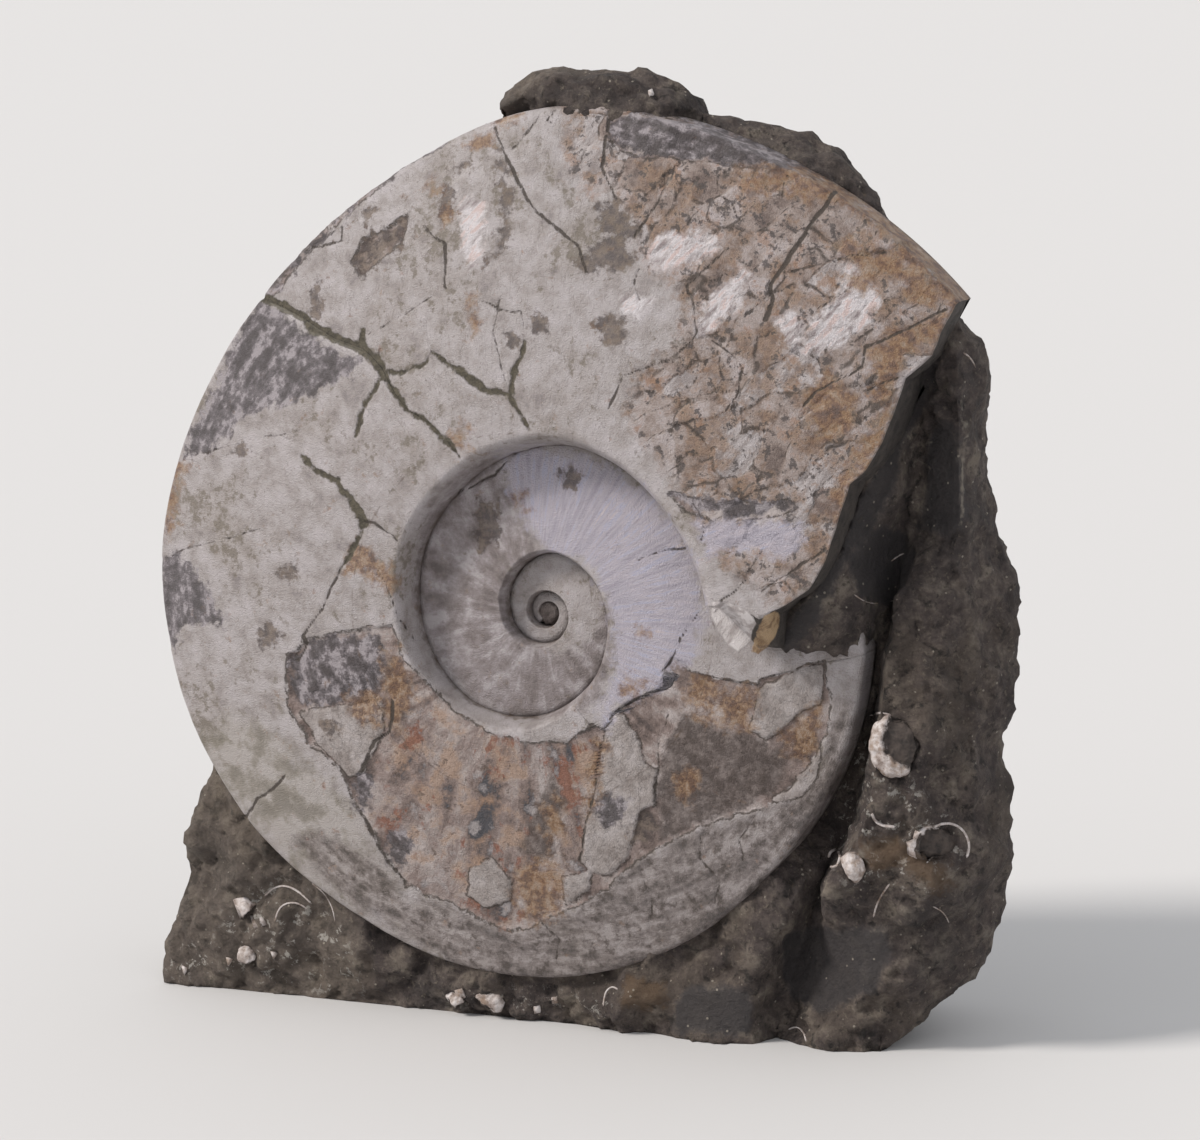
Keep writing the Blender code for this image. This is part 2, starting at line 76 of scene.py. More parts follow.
# The fossil, as in the frame. Whorl angles are in degrees, clockwise from
# twelve o'clock, and go on past 360 for the last whorl.
AXIS_X, AXIS_Z = -0.002, 0.176
MEDIAN_Y = -0.032
RIM_READINGS = (
    (93, 0.1376), (120, 0.1395), (136, 0.1416), (156, 0.1485), (179, 0.1554),
    (215, 0.1602), (236, 0.1683), (272, 0.1765), (303, 0.1772), (318, 0.1810),
    (335, 0.1894), (348, 0.1986), (361, 0.2096), (389, 0.2125), (412, 0.2200),
    (454, 0.2340),
)
SEAM_READINGS = (
    (-503, 0.0066), (-413, 0.0080), (-323, 0.0098), (-233, 0.0116), (-143, 0.0136),
    (-85, 0.0154), (-39, 0.0193), (9, 0.0261), (54, 0.0285), (106, 0.0309),
    (150, 0.0363), (184, 0.0429), (217, 0.0485), (273, 0.0534), (325, 0.0607),
    (372, 0.0731), (409, 0.0743), (454, 0.0775),
)
BREAK_READINGS = (
    (0.0800, 443.0), (0.0860, 444.0), (0.0890, 448.0), (0.0985, 453.6),
    (0.1080, 453.0), (0.1090, 445.4), (0.1140, 443.5), (0.1250, 440.7),
    (0.1330, 436.3), (0.1370, 433.4), (0.1435, 429.5), (0.1510, 425.8),
    (0.1580, 425.0), (0.1680, 422.5), (0.1745, 420.5), (0.1840, 417.8),
    (0.1880, 416.6), (0.2005, 416.0), (0.2090, 414.2), (0.2190, 412.7),
)
BREAK_TOP_READINGS = (
    (0.0800, 442.0), (0.0868, 442.0), (0.0900, 440.8), (0.0948, 442.2),
    (0.1004, 443.9), (0.1032, 445.3),
) + BREAK_READINGS[6:]
SPLIT_READINGS = (
    (0.0360, 152.0), (0.0499, 148.7), (0.0510, 140.0), (0.0520, 134.0),
    (0.0536, 127.7), (0.0564, 121.2), (0.0600, 110.0), (0.0624, 102.1),
    (0.0711, 105.4), (0.0837, 105.1), (0.0983, 104.0), (0.0991, 102.0),
    (0.1117, 98.7), (0.1219, 96.3), (0.1400, 94.0),
)
CRACK_READINGS = (
    (0.0600, 339.5), (0.0685, 338.6), (0.0716, 338.1), (0.0795, 336.1),
    (0.0883, 333.3), (0.0987, 328.9), (0.1077, 327.8), (0.1206, 327.6),
    (0.1257, 326.9), (0.1320, 325.8), (0.1374, 323.8), (0.1437, 321.8),
    (0.1512, 320.3), (0.1605, 318.8), (0.1707, 317.0), (0.1799, 315.2),
    (0.1850, 314.6),
)
CORE_ANGLE = -860
RIM_GROWTH, SEAM_GROWTH, THICKNESS_GROWTH = 1.70, 2.06, 1.90
FLANK_RISE, FLANK_RISE_ANGLE = 0.036, 360
RIM_RISE, RIM_RISE_ANGLE = 0.0085, 412
RIM_ROUND = 0.0030
CREST_SHARE, SHOULDER_INSIDE = 1.1227, 1.03
FLANK_CURVE = 1.7
WALL_POWER = 2.95
BACK_RISE = -0.009
OLD_RIM_ANGLE, UNCOVER_ANGLE = 93, 55
UNDER_NEXT = 1.02
INTO_STONE = 0.0006
SLANT = math.radians(-50)
SPACING = 0.00105


def photo_pixels(places):
    """Where places fall in the photograph, in its pixels from the top left."""
    back, right = np.array(TO_EYE), np.array(TO_RIGHT)
    from_target = places - np.array(TARGET)
    scale = FOCAL_PIXELS / (DISTANCE - from_target @ back)
    across = IMAGE_WIDTH / 2 + from_target @ right * scale
    down = IMAGE_HEIGHT / 2 - from_target @ np.cross(back, right) * scale
    return np.stack((across, down), axis=-1)


def read_off(points, growth, at):
    """A reading at whorl angles, averaged over 12 degrees. Inner whorls shrink."""
    angles, values = zip(*points)
    turns = np.maximum(0, np.ceil((angles[0] - at) / 360))
    at = at + 360 * turns
    smooth = sum(np.interp(at + step, angles, values) for step in (-6, -3, 0, 3, 6)) / 5
    return smooth / growth ** turns


def rim_radius(angle):
    return read_off(RIM_READINGS, RIM_GROWTH, angle)


def seam_radius(angle):
    return read_off(SEAM_READINGS, SEAM_GROWTH, angle)


def ease(low, high, value):
    """From 0 at low to 1 at high, slow at both ends."""
    share = np.clip((value - low) / (high - low), 0, 1)
    return share * share * (3 - 2 * share)


def outer_radius(angle):
    """Where a whorl stops: at its rim, or just under the whorl that covers it."""
    covered = seam_radius(angle + 360) * UNDER_NEXT
    uncovered = ease(UNCOVER_ANGLE, OLD_RIM_ANGLE, angle)
    return covered + (rim_radius(angle) - covered) * uncovered


def flank_height(angle, radius):
    """How far a whorl's side stands out from the fossil's middle plane."""
    shoulder = seam_radius(angle) * CREST_SHARE / SHOULDER_INSIDE
    share = np.clip((radius - shoulder) / (rim_radius(angle) - shoulder), 0, 1)
    rim = RIM_RISE * THICKNESS_GROWTH ** np.minimum((angle - RIM_RISE_ANGLE) / 720, 0)
    top = FLANK_RISE * THICKNESS_GROWTH ** ((angle - FLANK_RISE_ANGLE) / 360)
    return rim + (top - rim) * (1 - share ** FLANK_CURVE)


def shell_height(angle, radius):
    """The same, with the wall that goes down to the seam with the whorl inside."""
    seam = seam_radius(angle)
    crest = seam * CREST_SHARE
    foot = flank_height(angle - 360, seam)
    up = np.clip((radius - seam) / (crest - seam), 0, 1)
    wall = foot + (flank_height(angle, crest) - foot) * (1 - (1 - up) ** WALL_POWER)
    return np.where(radius < crest, wall, flank_height(angle, radius))


# Outlines on the shell, in pixels of the photograph. Each kind of place has a
# depth of its own and its own finish.
FLAKE_TOP = ((391, 626), (398, 642), (404, 660), (415, 672), (432, 690), (455, 712), (490, 734),
    (530, 744), (568, 742), (592, 727))
WHORL_EDGE = ((590, 725), (607, 731), (615, 711), (629, 703), (643, 695), (664, 686), (666, 665),
    (674, 657), (692, 672), (722, 680), (758, 687), (762, 678), (796, 670), (823, 662))
PLATE_EDGE = ((830, 700), (826, 735), (812, 764), (810, 777), (788, 789), (789, 800), (773, 801),
    (766, 807), (729, 816), (692, 829), (658, 847), (632, 862), (606, 888), (588, 899),
    (566, 910), (540, 921), (530, 927), (512, 930), (495, 925), (477, 918), (455, 905),
    (440, 899), (425, 893), (407, 885), (395, 868), (383, 850), (369, 825), (361, 811),
    (353, 803), (350, 789), (339, 766), (312, 745), (293, 715), (285, 688), (289, 655),
    (308, 641), (345, 632), (376, 628))
RIM_STRIP = ((262, 297), (300, 252), (346, 206), (390, 170), (440, 140), (446, 142),
    (399, 169), (350, 212), (306, 256), (266, 303))
TOP_LEFT_WINDOW = ((396, 222), (408, 214), (404, 240), (384, 256), (362, 274), (352, 262),
    (364, 240), (382, 232))
SHELL_AREAS = {
    "flaked": {
        "lower side": FLAKE_TOP + WHORL_EDGE + PLATE_EDGE,
        "under the rim patch": ((611, 110), (633, 112), (668, 116), (705, 122), (732, 129),
            (765, 141), (798, 160), (792, 168), (750, 168), (712, 162), (675, 158), (640, 158),
            (618, 150), (609, 133)),
        "strip of the rim": RIM_STRIP,
        "top left window": TOP_LEFT_WINDOW,
        "right middle": ((671, 494), (688, 498), (716, 506), (741, 500), (760, 506), (788, 500),
            (796, 508), (776, 517), (741, 520), (716, 523), (700, 514), (684, 512)),
    },
    "raised": {
        "large pale plate": ((604, 732), (600, 760), (592, 800), (585, 835), (580, 860),
            (590, 872), (610, 876), (628, 856), (634, 836), (640, 812), (655, 806), (655, 770),
            (644, 765), (643, 750), (633, 731), (623, 715), (615, 712)),
        "beige plate": ((758, 693), (766, 685), (796, 670), (822, 665), (823, 685), (819, 703),
            (796, 716), (781, 731), (768, 739), (750, 731), (753, 710)),
        "plate low left": ((470, 868), (490, 860), (512, 880), (508, 902), (486, 908),
            (468, 896)),
        "plate by the oval": ((300, 712), (340, 706), (380, 700), (384, 728), (378, 745),
            (366, 760), (362, 774), (350, 778), (338, 764), (318, 744)),
        "small plate": ((562, 878), (590, 872), (588, 893), (566, 904)),
        "edge shell": ((770, 800), (790, 788), (812, 764), (822, 745), (816, 778), (800, 796),
            (786, 803)),
    },
    "nacre": {
        "right of the middle": ((500, 456), (538, 448), (572, 452), (610, 466), (644, 492),
            (672, 524), (692, 560), (703, 600), (704, 640), (690, 662), (666, 665), (664, 686),
            (643, 695), (615, 711), (607, 731), (597, 712), (606, 690), (614, 660), (613, 622),
            (604, 592), (588, 566), (562, 552), (540, 552), (524, 520), (508, 490)),
        "pink pearl": ((696, 524), (740, 519), (800, 521), (806, 540), (786, 556), (740, 548),
            (706, 552)),
    },
    # Pearly nacre, painted brighter as highlights.
    "pearl": {
        "upper pearl": ((461, 206), (472, 196), (488, 204), (484, 240), (474, 268), (462, 262)),
        "long pearl": ((692, 336), (694, 318), (718, 288), (742, 270), (750, 276), (742, 300),
            (716, 326), (704, 346)),
        "middle pearl": ((650, 240), (672, 232), (716, 236), (720, 252), (690, 266), (664, 268),
            (648, 256)),
        "right pearl": ((776, 322), (790, 312), (806, 326), (800, 346), (784, 350)),
        "low pearl": ((846, 262), (862, 268), (880, 300), (866, 330), (840, 344), (806, 352),
            (812, 320), (836, 300)),
        "left pearl": ((620, 300), (636, 292), (652, 300), (640, 316), (622, 314)),
    },
    "dark": {
        "upper left patch": ((258, 300), (284, 314), (305, 332), (327, 347), (345, 356),
            (362, 361), (352, 376), (331, 386), (311, 394), (278, 404), (242, 415), (226, 440),
            (204, 450), (183, 459), (190, 430), (206, 404), (220, 372), (238, 336)),
        "oval": ((289, 668), (297, 652), (318, 640), (345, 634), (372, 636), (386, 646),
            (385, 676), (380, 692), (356, 700), (326, 706), (302, 704), (292, 690)),
        "rim patch": ((611, 110), (633, 112), (668, 116), (705, 122), (732, 129), (765, 141),
            (798, 156), (830, 172), (866, 196), (852, 198), (822, 184), (792, 170), (750, 168),
            (712, 162), (675, 158), (640, 158), (618, 150), (609, 133)),
        "rim strip": RIM_STRIP,
        "left rim": ((158, 560), (170, 552), (190, 562), (206, 586), (220, 612), (222, 626),
            (196, 622), (180, 630), (176, 655), (164, 640), (158, 600)),
        "grey polygon": ((592, 800), (608, 795), (629, 800), (624, 822), (606, 828), (592, 816)),
        "chip in the gap": ((354, 786), (360, 774), (372, 776), (372, 800), (362, 811),
            (354, 804)),
        "chip lower": ((384, 836), (394, 826), (410, 830), (410, 850), (402, 866), (388, 862)),
        "grey above pink": ((671, 494), (700, 500), (741, 500), (788, 500), (796, 508),
            (741, 516), (700, 514)),
    },
    "stained": {
        "top left window": TOP_LEFT_WINDOW,
        "window above": ((362, 214), (370, 206), (378, 208), (372, 220), (362, 220)),
        "streak": ((440, 200), (446, 176), (470, 156), (474, 162), (452, 184), (450, 222),
            (442, 222)),
        "streak right": ((496, 142), (504, 148), (508, 176), (514, 196), (510, 234), (500, 234),
            (498, 190)),
        "streak below": ((500, 236), (508, 236), (498, 262), (490, 270)),
        "chips at the crack": ((308, 292), (320, 286), (324, 320), (312, 318)),
        "top blot": ((575, 262), (590, 250), (606, 232), (622, 236), (640, 262), (624, 274),
            (600, 270), (584, 276)),
        "top blot right": ((596, 210), (612, 200), (632, 214), (640, 236), (622, 244),
            (600, 232)),
        "speckle": ((600, 320), (614, 314), (628, 324), (622, 342), (606, 344)),
        "arc": ((522, 322), (540, 312), (552, 318), (546, 330), (530, 328), (520, 338)),
        "blot": ((506, 332), (520, 324), (526, 340), (512, 352), (504, 346)),
        "low blot": ((322, 724), (334, 718), (342, 728), (332, 738)),
        "mottled": ((478, 505), (494, 503), (503, 524), (499, 546), (482, 549), (474, 530)),
        "old whorl": ((560, 472), (572, 466), (584, 482), (576, 490), (562, 488)),
        "spot": ((234, 452), (242, 444), (248, 450), (240, 460)),
        "spot lower": ((282, 570), (292, 562), (300, 572), (290, 582)),
        "spot low": ((258, 634), (270, 622), (282, 630), (272, 644), (260, 644)),
        # Painted shade: the recess below is coloured dark, as the shade in it.
        "recess in shade": ((638, 812), (651, 807), (653, 826), (646, 842), (636, 838)),
    },
    "rust": {
        "orange by the oval": ((386, 652), (398, 646), (404, 668), (412, 684), (410, 706),
            (396, 730), (384, 726), (388, 700), (380, 690), (386, 676)),
        "orange band": ((467, 147), (476, 136), (496, 128), (494, 142), (478, 150)),
        "red spot": ((430, 190), (436, 180), (442, 188), (436, 196)),
        "red spot lower": ((444, 212), (450, 208), (452, 222), (446, 222)),
        "red at the rim": ((498, 122), (520, 114), (516, 122), (502, 126)),
        "streak of rust": ((470, 302), (476, 300), (480, 322), (474, 336)),
        "orange at the crack": ((450, 436), (464, 424), (470, 440), (462, 458)),
        "orange at the wall": ((356, 548), (372, 548), (392, 566), (398, 590), (384, 592),
            (366, 572), (344, 572), (350, 556)),
        "rust above": ((739, 166), (770, 170), (800, 166), (830, 176), (856, 190), (878, 212),
            (860, 214), (830, 200), (806, 196), (770, 190), (744, 180)),
        "rust right": ((826, 246), (846, 238), (876, 250), (900, 262), (926, 272), (948, 298),
            (938, 312), (905, 306), (900, 284), (870, 268), (846, 262)),
        "rust below": ((846, 276), (872, 262), (884, 272), (862, 290), (848, 292)),
        "rust by the edge": ((864, 350), (905, 326), (948, 310), (940, 332), (905, 356),
            (893, 390), (886, 404), (874, 400), (880, 376), (872, 366)),
        "rust along the break": ((884, 404), (902, 396), (884, 440), (866, 474), (850, 486),
            (838, 520), (828, 514), (842, 474), (862, 446)),
        "rust at the rim": ((850, 180), (900, 205), (950, 255), (985, 305), (955, 312),
            (926, 276), (896, 256), (872, 226), (856, 204)),
        "rust low": ((804, 382), (830, 372), (858, 396), (850, 432), (826, 446), (806, 420)),
        "brown square": ((692, 675), (722, 682), (717, 700), (715, 723), (694, 716), (684, 703)),
        "brown square right": ((720, 686), (755, 693), (753, 718), (745, 731), (717, 725)),
        "orange spot": ((674, 778), (686, 766), (700, 776), (698, 796), (688, 802), (678, 794)),
        "brown at the rim": ((784, 728), (799, 718), (819, 705), (822, 733), (811, 761),
            (789, 754), (781, 741)),
        "rust low middle": ((514, 870), (533, 862), (558, 866), (562, 888), (560, 910),
            (540, 920), (514, 903)),
        "rust upper": ((541, 806), (556, 800), (562, 830), (548, 850)),
        "rust streak": ((588, 776), (598, 742), (606, 744), (598, 790), (590, 820), (584, 812)),
        "rust in the oval": ((346, 694), (376, 694), (384, 726), (372, 728), (350, 712)),
        "brown spot": ((634, 634), (640, 625), (648, 632), (642, 642)),
        "spot by the seam": ((624, 682), (634, 676), (644, 684), (636, 694), (626, 692)),
        "orange streak": ((516, 506), (520, 488), (526, 490), (524, 508)),
        "left rim": ((160, 520), (166, 480), (174, 462), (184, 466), (176, 500), (168, 540)),
    },
    "white_end": {
        "wall": ((712, 600), (723, 603), (740, 606), (758, 617), (758, 622), (750, 640),
            (739, 652), (727, 644), (718, 632), (712, 616)),
    },
    "ochre_end": {
        "plate": ((762, 622), (764, 616), (776, 612), (782, 618), (778, 631), (770, 645),
            (758, 654), (750, 650)),
    },
    # The lower strip is rubbed and pitted, and painted darker with shade.
    "weathered_and_shaded": {
        "lower strip": ((440, 900), (495, 926), (540, 922), (588, 901), (632, 864), (692, 831),
            (766, 809), (790, 803), (808, 780), (824, 748), (836, 700), (850, 700), (840, 790),
            (800, 868), (740, 930), (670, 968), (590, 990), (520, 990), (450, 966), (400, 930),
            (404, 900)),
        "lower left": ((330, 836), (380, 862), (404, 896), (430, 905), (400, 930), (352, 904),
            (316, 870), (292, 836)),
    },
    "drab": {
        "lower left": ((196, 740), (230, 716), (262, 724), (300, 760), (346, 800), (372, 850),
            (400, 890), (352, 912), (300, 872), (250, 822), (212, 780)),
    },
    "mosaic": {
        "upper right": ((560, 104), (611, 98), (700, 118), (780, 158), (860, 200), (905, 236),
            (962, 300), (948, 331), (938, 357), (910, 376), (896, 423), (870, 473), (846, 513),
            (831, 560), (790, 605), (768, 600), (722, 560), (702, 530), (690, 505), (664, 474),
            (640, 440), (625, 410), (640, 375), (680, 345), (690, 310), (672, 280), (640, 262),
            (632, 220), (606, 180)),
        "top": ((575, 110), (612, 108), (606, 150), (604, 190), (584, 200), (560, 150)),
    },
    "mottled": {
        "lower middle": ((404, 676), (430, 700), (470, 728), (530, 745), (585, 740), (600, 760),
            (588, 800), (580, 860), (590, 880), (560, 912), (520, 926), (480, 914), (440, 896),
            (400, 868), (372, 812), (384, 760), (394, 730), (410, 705)),
    },
    "sooty": {
        "right of the plate": ((684, 715), (716, 728), (745, 733), (768, 741), (788, 756),
            (785, 775), (770, 796), (730, 812), (692, 827), (660, 842), (655, 806), (658, 768),
            (668, 742)),
        "dark blue": ((520, 850), (536, 800), (552, 780), (566, 800), (556, 850), (540, 864)),
    },
    "dull": {
        "inner whorl": ((416, 570), (428, 510), (460, 470), (500, 456), (508, 490), (524, 520),
            (540, 552), (514, 572), (508, 606), (522, 640), (556, 656), (590, 640), (607, 606),
            (614, 660), (604, 694), (580, 712), (530, 718), (476, 702), (436, 660), (418, 612)),
    },
}

# Cracks, from wide ones that hold olive stone to dark hairlines. Each is a run
# of pixels with its width in millimetres at the start and at the end.
WIDE_CRACKS = (
    (((262, 297), (281, 305), (301, 316), (318, 328), (333, 337), (348, 343), (362, 348),
      (373, 358), (381, 367)), 3.6, 4.2),
    (((381, 367), (388, 382), (395, 394), (408, 411), (432, 426), (448, 442), (460, 458)), 3.4,
      1.4),
    (((362, 348), (361, 340), (364, 329)), 3.4, 1.6),
    (((386, 370), (400, 372), (414, 367), (427, 364), (429, 356), (432, 351)), 1.9, 0.9),
    (((432, 351), (446, 362), (461, 372), (468, 378)), 1.0, 3.6),
    (((468, 378), (480, 386), (488, 391), (500, 392), (510, 396)), 3.8, 2.2),
    (((510, 396), (514, 404), (520, 412), (524, 420), (530, 430)), 1.6, 1.2),
    (((512, 392), (514, 372), (522, 352), (524, 340)), 2.4, 1.6),
    (((382, 377), (374, 390), (365, 402), (361, 418), (356, 435)), 1.4, 2.2),
    (((301, 455), (310, 464), (317, 470), (328, 476), (338, 480)), 1.2, 3.0),
    (((338, 480), (342, 490), (350, 498), (354, 505), (360, 514), (364, 524)), 1.6, 4.6),
    (((362, 520), (362, 532), (354, 547), (347, 560), (340, 571)), 1.6, 1.2),
    (((300, 316), (312, 330), (326, 332)), 2.0, 5.0),
)
HAIRLINES = (
    (((340, 571), (330, 590), (322, 609), (312, 622), (303, 636), (298, 648), (294, 657)), 0.8,
      0.8),
    (((303, 636), (306, 645), (296, 662)), 1.4, 1.0),
    (((364, 522), (376, 523), (390, 534), (397, 542)), 0.9, 0.9),
    (((494, 128), (504, 152), (515, 174), (526, 198), (536, 210), (547, 222), (564, 234),
      (580, 246), (584, 260), (586, 272)), 1.3, 1.1),
    (((611, 113), (606, 140), (601, 166), (608, 182), (616, 199)), 1.1, 0.9),
    (((540, 112), (532, 128), (512, 150)), 0.7, 0.6),
    (((556, 110), (548, 120), (560, 132)), 0.7, 0.5),
    (((596, 108), (588, 140), (580, 170)), 0.5, 0.5),
    (((835, 192), (822, 210), (808, 229), (798, 246), (788, 259), (780, 272), (770, 285),
      (772, 302), (765, 319)), 1.8, 1.4),
    (((729, 249), (710, 266), (698, 276), (686, 285), (690, 296), (694, 310), (696, 335)), 1.0,
      0.9),
    (((696, 335), (684, 348), (672, 358), (646, 368), (623, 375), (616, 394), (609, 408)), 0.8,
      0.6),
    (((948, 309), (926, 320), (905, 330), (865, 348), (863, 368), (840, 380), (815, 391),
      (802, 408)), 1.3, 0.9),
    (((904, 376), (880, 384), (862, 392)), 0.7, 0.6),
    (((768, 274), (788, 272), (810, 266), (855, 256), (886, 252)), 0.8, 0.8),
    (((818, 309), (832, 300), (851, 289)), 0.7, 0.6),
    (((424, 227), (434, 236), (445, 244), (446, 262), (445, 288)), 0.9, 1.0),
    (((445, 288), (424, 300), (400, 318), (368, 335)), 0.4, 0.4),
    (((304, 250), (322, 246), (342, 240), (342, 226)), 0.9, 0.7),
    (((244, 818), (258, 800), (272, 790), (285, 775)), 1.6, 0.8),
    (((392, 700), (392, 708), (389, 732), (378, 740), (370, 748), (366, 760), (360, 772)), 1.4,
      1.4),
    (((457, 493), (476, 484), (494, 475), (504, 464), (517, 452)), 1.0, 0.6),
    (((360, 811), (380, 850), (404, 884)), 0.9, 0.9),
    (((415, 640), (400, 620), (392, 600), (378, 570)), 0.5, 0.5),
    (((692, 505), (706, 520), (700, 540)), 0.6, 0.6),
    (((826, 548), (800, 566), (772, 584), (760, 592)), 0.9, 0.7),
    (((746, 580), (736, 590), (722, 600), (716, 612)), 0.9, 0.9),
    (((848, 470), (832, 478), (812, 490)), 0.8, 0.6),
    (((640, 560), (664, 550), (686, 548)), 0.5, 0.6),
    (((700, 612), (680, 640), (672, 660), (662, 672)), 0.7, 0.9),
    (((712, 342), (730, 352), (742, 368), (738, 392), (726, 410)), 0.8, 0.8),
    (((640, 268), (634, 284), (640, 300)), 0.7, 0.6),
    (((676, 166), (660, 200), (648, 216), (634, 236)), 0.6, 0.8),
    (((716, 178), (720, 196), (732, 204), (738, 224)), 0.8, 0.6),
    (((780, 200), (786, 176), (800, 180)), 0.6, 0.6),
    (((158, 560), (200, 545), (260, 530)), 0.3, 0.3),
    (((190, 458), (250, 440), (300, 430)), 0.3, 0.3),
    (((480, 300), (500, 310), (520, 312), (524, 330)), 0.6, 0.6),
    (((508, 388), (500, 360), (494, 330), (500, 300)), 0.5, 0.5),
    (((654, 806), (656, 780), (660, 740), (668, 716)), 0.7, 0.6),
    (((604, 732), (614, 712), (636, 700), (650, 692)), 1.0, 0.8),
    (((600, 744), (596, 780), (586, 830), (578, 862)), 0.8, 0.6),
    (((540, 921), (560, 940), (556, 960)), 0.6, 0.6),
    (((640, 870), (652, 900), (648, 930)), 0.6, 0.6),
    (((700, 836), (700, 860), (720, 880), (716, 904)), 0.6, 0.6),
    (((756, 816), (740, 840), (742, 862)), 0.7, 0.6),
)

SHELL_LINES = {"wide_crack": WIDE_CRACKS, "hairline": HAIRLINES}
# How far outside a place a mark still counts, in pixels, and a pixel's width in mm.
REACH, PIXEL = 14, 0.403
HALF = Vector((0.5, 0.5, 0.5))
# The peeled plates lie aslant, and are about twice as long as they are wide.
PLATE_SIZE, PLATE_TURN = 0.013, math.radians(35)
PLATE_RUN = np.array((
    (math.cos(PLATE_TURN) * 0.6, 0, -math.sin(PLATE_TURN) * 1.2),
    (0, 0.4, 0),
    (math.sin(PLATE_TURN) * 0.6, 0, math.cos(PLATE_TURN) * 1.2),
))
PLATE_BENDS = (0.022, 0.0060), (0.005, 0.0016)
CORE_SINK, CORE_SIZE = 0.0005, (0.0062, 0.0058, 0.0062)
LEAN_DEPTH = 0.014
# Rows across each part of a whorl, columns down the broken end, and how many columns
# before that end tell which way it faces.
WALL_ROWS, ROUND_ROWS, SIDE_ROWS, CLIFF_COLUMNS, END_COLUMNS = 9, 4, 6, 12, 5


def lumps(places, size, octaves=1):
    """Soft noise, about -1 to 1, with lumps of a size in metres."""
    return np.array([noise.fractal(Vector(place) / size, 1.0, 2.0, octaves)
                     for place in places.reshape(-1, 3)]).reshape(places.shape[:-1])


def drift(places, size):
    """Noise that moves a place about, as vectors of about one unit."""
    flat = places.reshape(-1, 3)
    return np.array([noise.noise_vector(Vector(place) / size) for place in flat])


def chips(places, size, soft=0.02):
    """Broken cells: each one's own number, its tilted face, and its edge's nearness.
    Softness is how far two faces blend where they meet, as a share of the size."""
    tones, faces, edges = [], [], []
    for place in places.reshape(-1, 3):
        at = Vector(place) / size
        gaps, cores = noise.voronoi(at)
        shares = [math.exp((gaps[0] - gap) / soft) for gap in gaps]
        tilts = [(noise.cell_vector(core * 97) - HALF).dot(at - core) for core in cores]
        tones.append((noise.cell(cores[0] * 53) + 1) / 2)
        faces.append(sum(map(operator.mul, shares, tilts)) / sum(shares))
        edges.append((gaps[1] - gaps[0]) * size)
    shape = places.shape[:-1]
    return [np.array(values).reshape(shape) for values in (tones, faces, edges)]


def near(pixels, corners):
    low, high = corners.min(0) - REACH, corners.max(0) + REACH
    return np.all((pixels > low) & (pixels < high), axis=1)


def from_lines(pixels, corners, widths, closed):
    """Distance in pixels to a run of lines, less half its width if it has one."""
    start = corners if closed else corners[:-1]
    along = np.roll(corners, -1, axis=0)[:len(start)] - start
    offset = pixels[:, None] - start
    share = np.clip((offset * along).sum(2) / (along ** 2).sum(1), 0, 1)
    gap = np.linalg.norm(offset - share[..., None] * along, axis=2)
    if widths:
        steps = np.linspace(*widths, len(corners)) / PIXEL / 2
        gap -= steps[:-1] + (steps[1:] - steps[:-1]) * share
    return gap.min(1)


def inside(pixels, corners):
    x, y = pixels[:, :1], pixels[:, 1:]
    start, end = corners, np.roll(corners, -1, axis=0)
    rise = np.where(end[:, 1] == start[:, 1], 1e-9, end[:, 1] - start[:, 1])
    crossing = start[:, 0] + (y - start[:, 1]) / rise * (end[:, 0] - start[:, 0])
    spans = (start[:, 1] > y) != (end[:, 1] > y)
    return (spans & (x < crossing)).sum(1) % 2 == 1


def outside(pixels, runs, closed):
    """How far outside some outlines, or lines with widths, places are, in mm. Inside
    it is negative."""
    depth = np.full(len(pixels), float(REACH))
    for run in runs:
        run, *widths = (run,) if closed else run
        corners = np.array(run, float)
        here = near(pixels, corners)
        gap = from_lines(pixels[here], corners, widths, closed)
        if closed:
            gap[inside(pixels[here], corners)] *= -1
        depth[here] = np.minimum(depth[here], gap)
    return depth * PIXEL


def read_places(places, areas, lines):
    """For each kind of place, how far outside it every point is, in mm."""
    flat = places.reshape(-1, 3)
    pixels = photo_pixels(flat)
    pixels += drift(flat, 0.008)[:, :2] * 2.2 + drift(flat, 0.002)[:, 1:] * 0.9
    depths = {kind: outside(pixels, outlines.values(), True)
              for kind, outlines in areas.items()}
    depths |= {kind: outside(pixels, runs, False) for kind, runs in lines.items()}
    return {kind: depth.reshape(places.shape[:-1]) for kind, depth in depths.items()}


def solid(part):
    """A copy of one of the frame's solids, with its faces joined up."""
    bm = bmesh.new()
    bm.from_mesh(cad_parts[part].data)
    bmesh.ops.remove_doubles(bm, verts=bm.verts, dist=1e-5)
    return bm


def skin(bm):
    """The places and the normals of a shape's points."""
    bm.normal_update()
    return (np.array([vert.co for vert in bm.verts]),
            np.array([vert.normal for vert in bm.verts]))


def move(bm, places):
    for vert, place in zip(bm.verts, places):
        vert.co = place


def add_object(name, data):
    made = bpy.data.objects.new(name, data)
    bpy.context.scene.collection.objects.link(made)
    return made


def add_mesh(name, bm, finish):
    mesh = bpy.data.meshes.new(name)
    bm.to_mesh(mesh)
    bm.free()
    mesh.materials.append(finish)
    return add_object(name, mesh)


def finished(name, bm, slot, finish, *nodes):
    """Turn a shape into a piece that rides on the block."""
    piece = add_mesh(name, bm, finish)
    piece.data.shade_smooth()
    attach(piece, "root")
    if nodes:
        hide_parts(*nodes)


def mark(bm, marks):
    for kind, values in marks.items():
        layer = bm.verts.layers.float.new(kind)
        for vert, value in zip(bm.verts, values.ravel()):
            vert[layer] = value


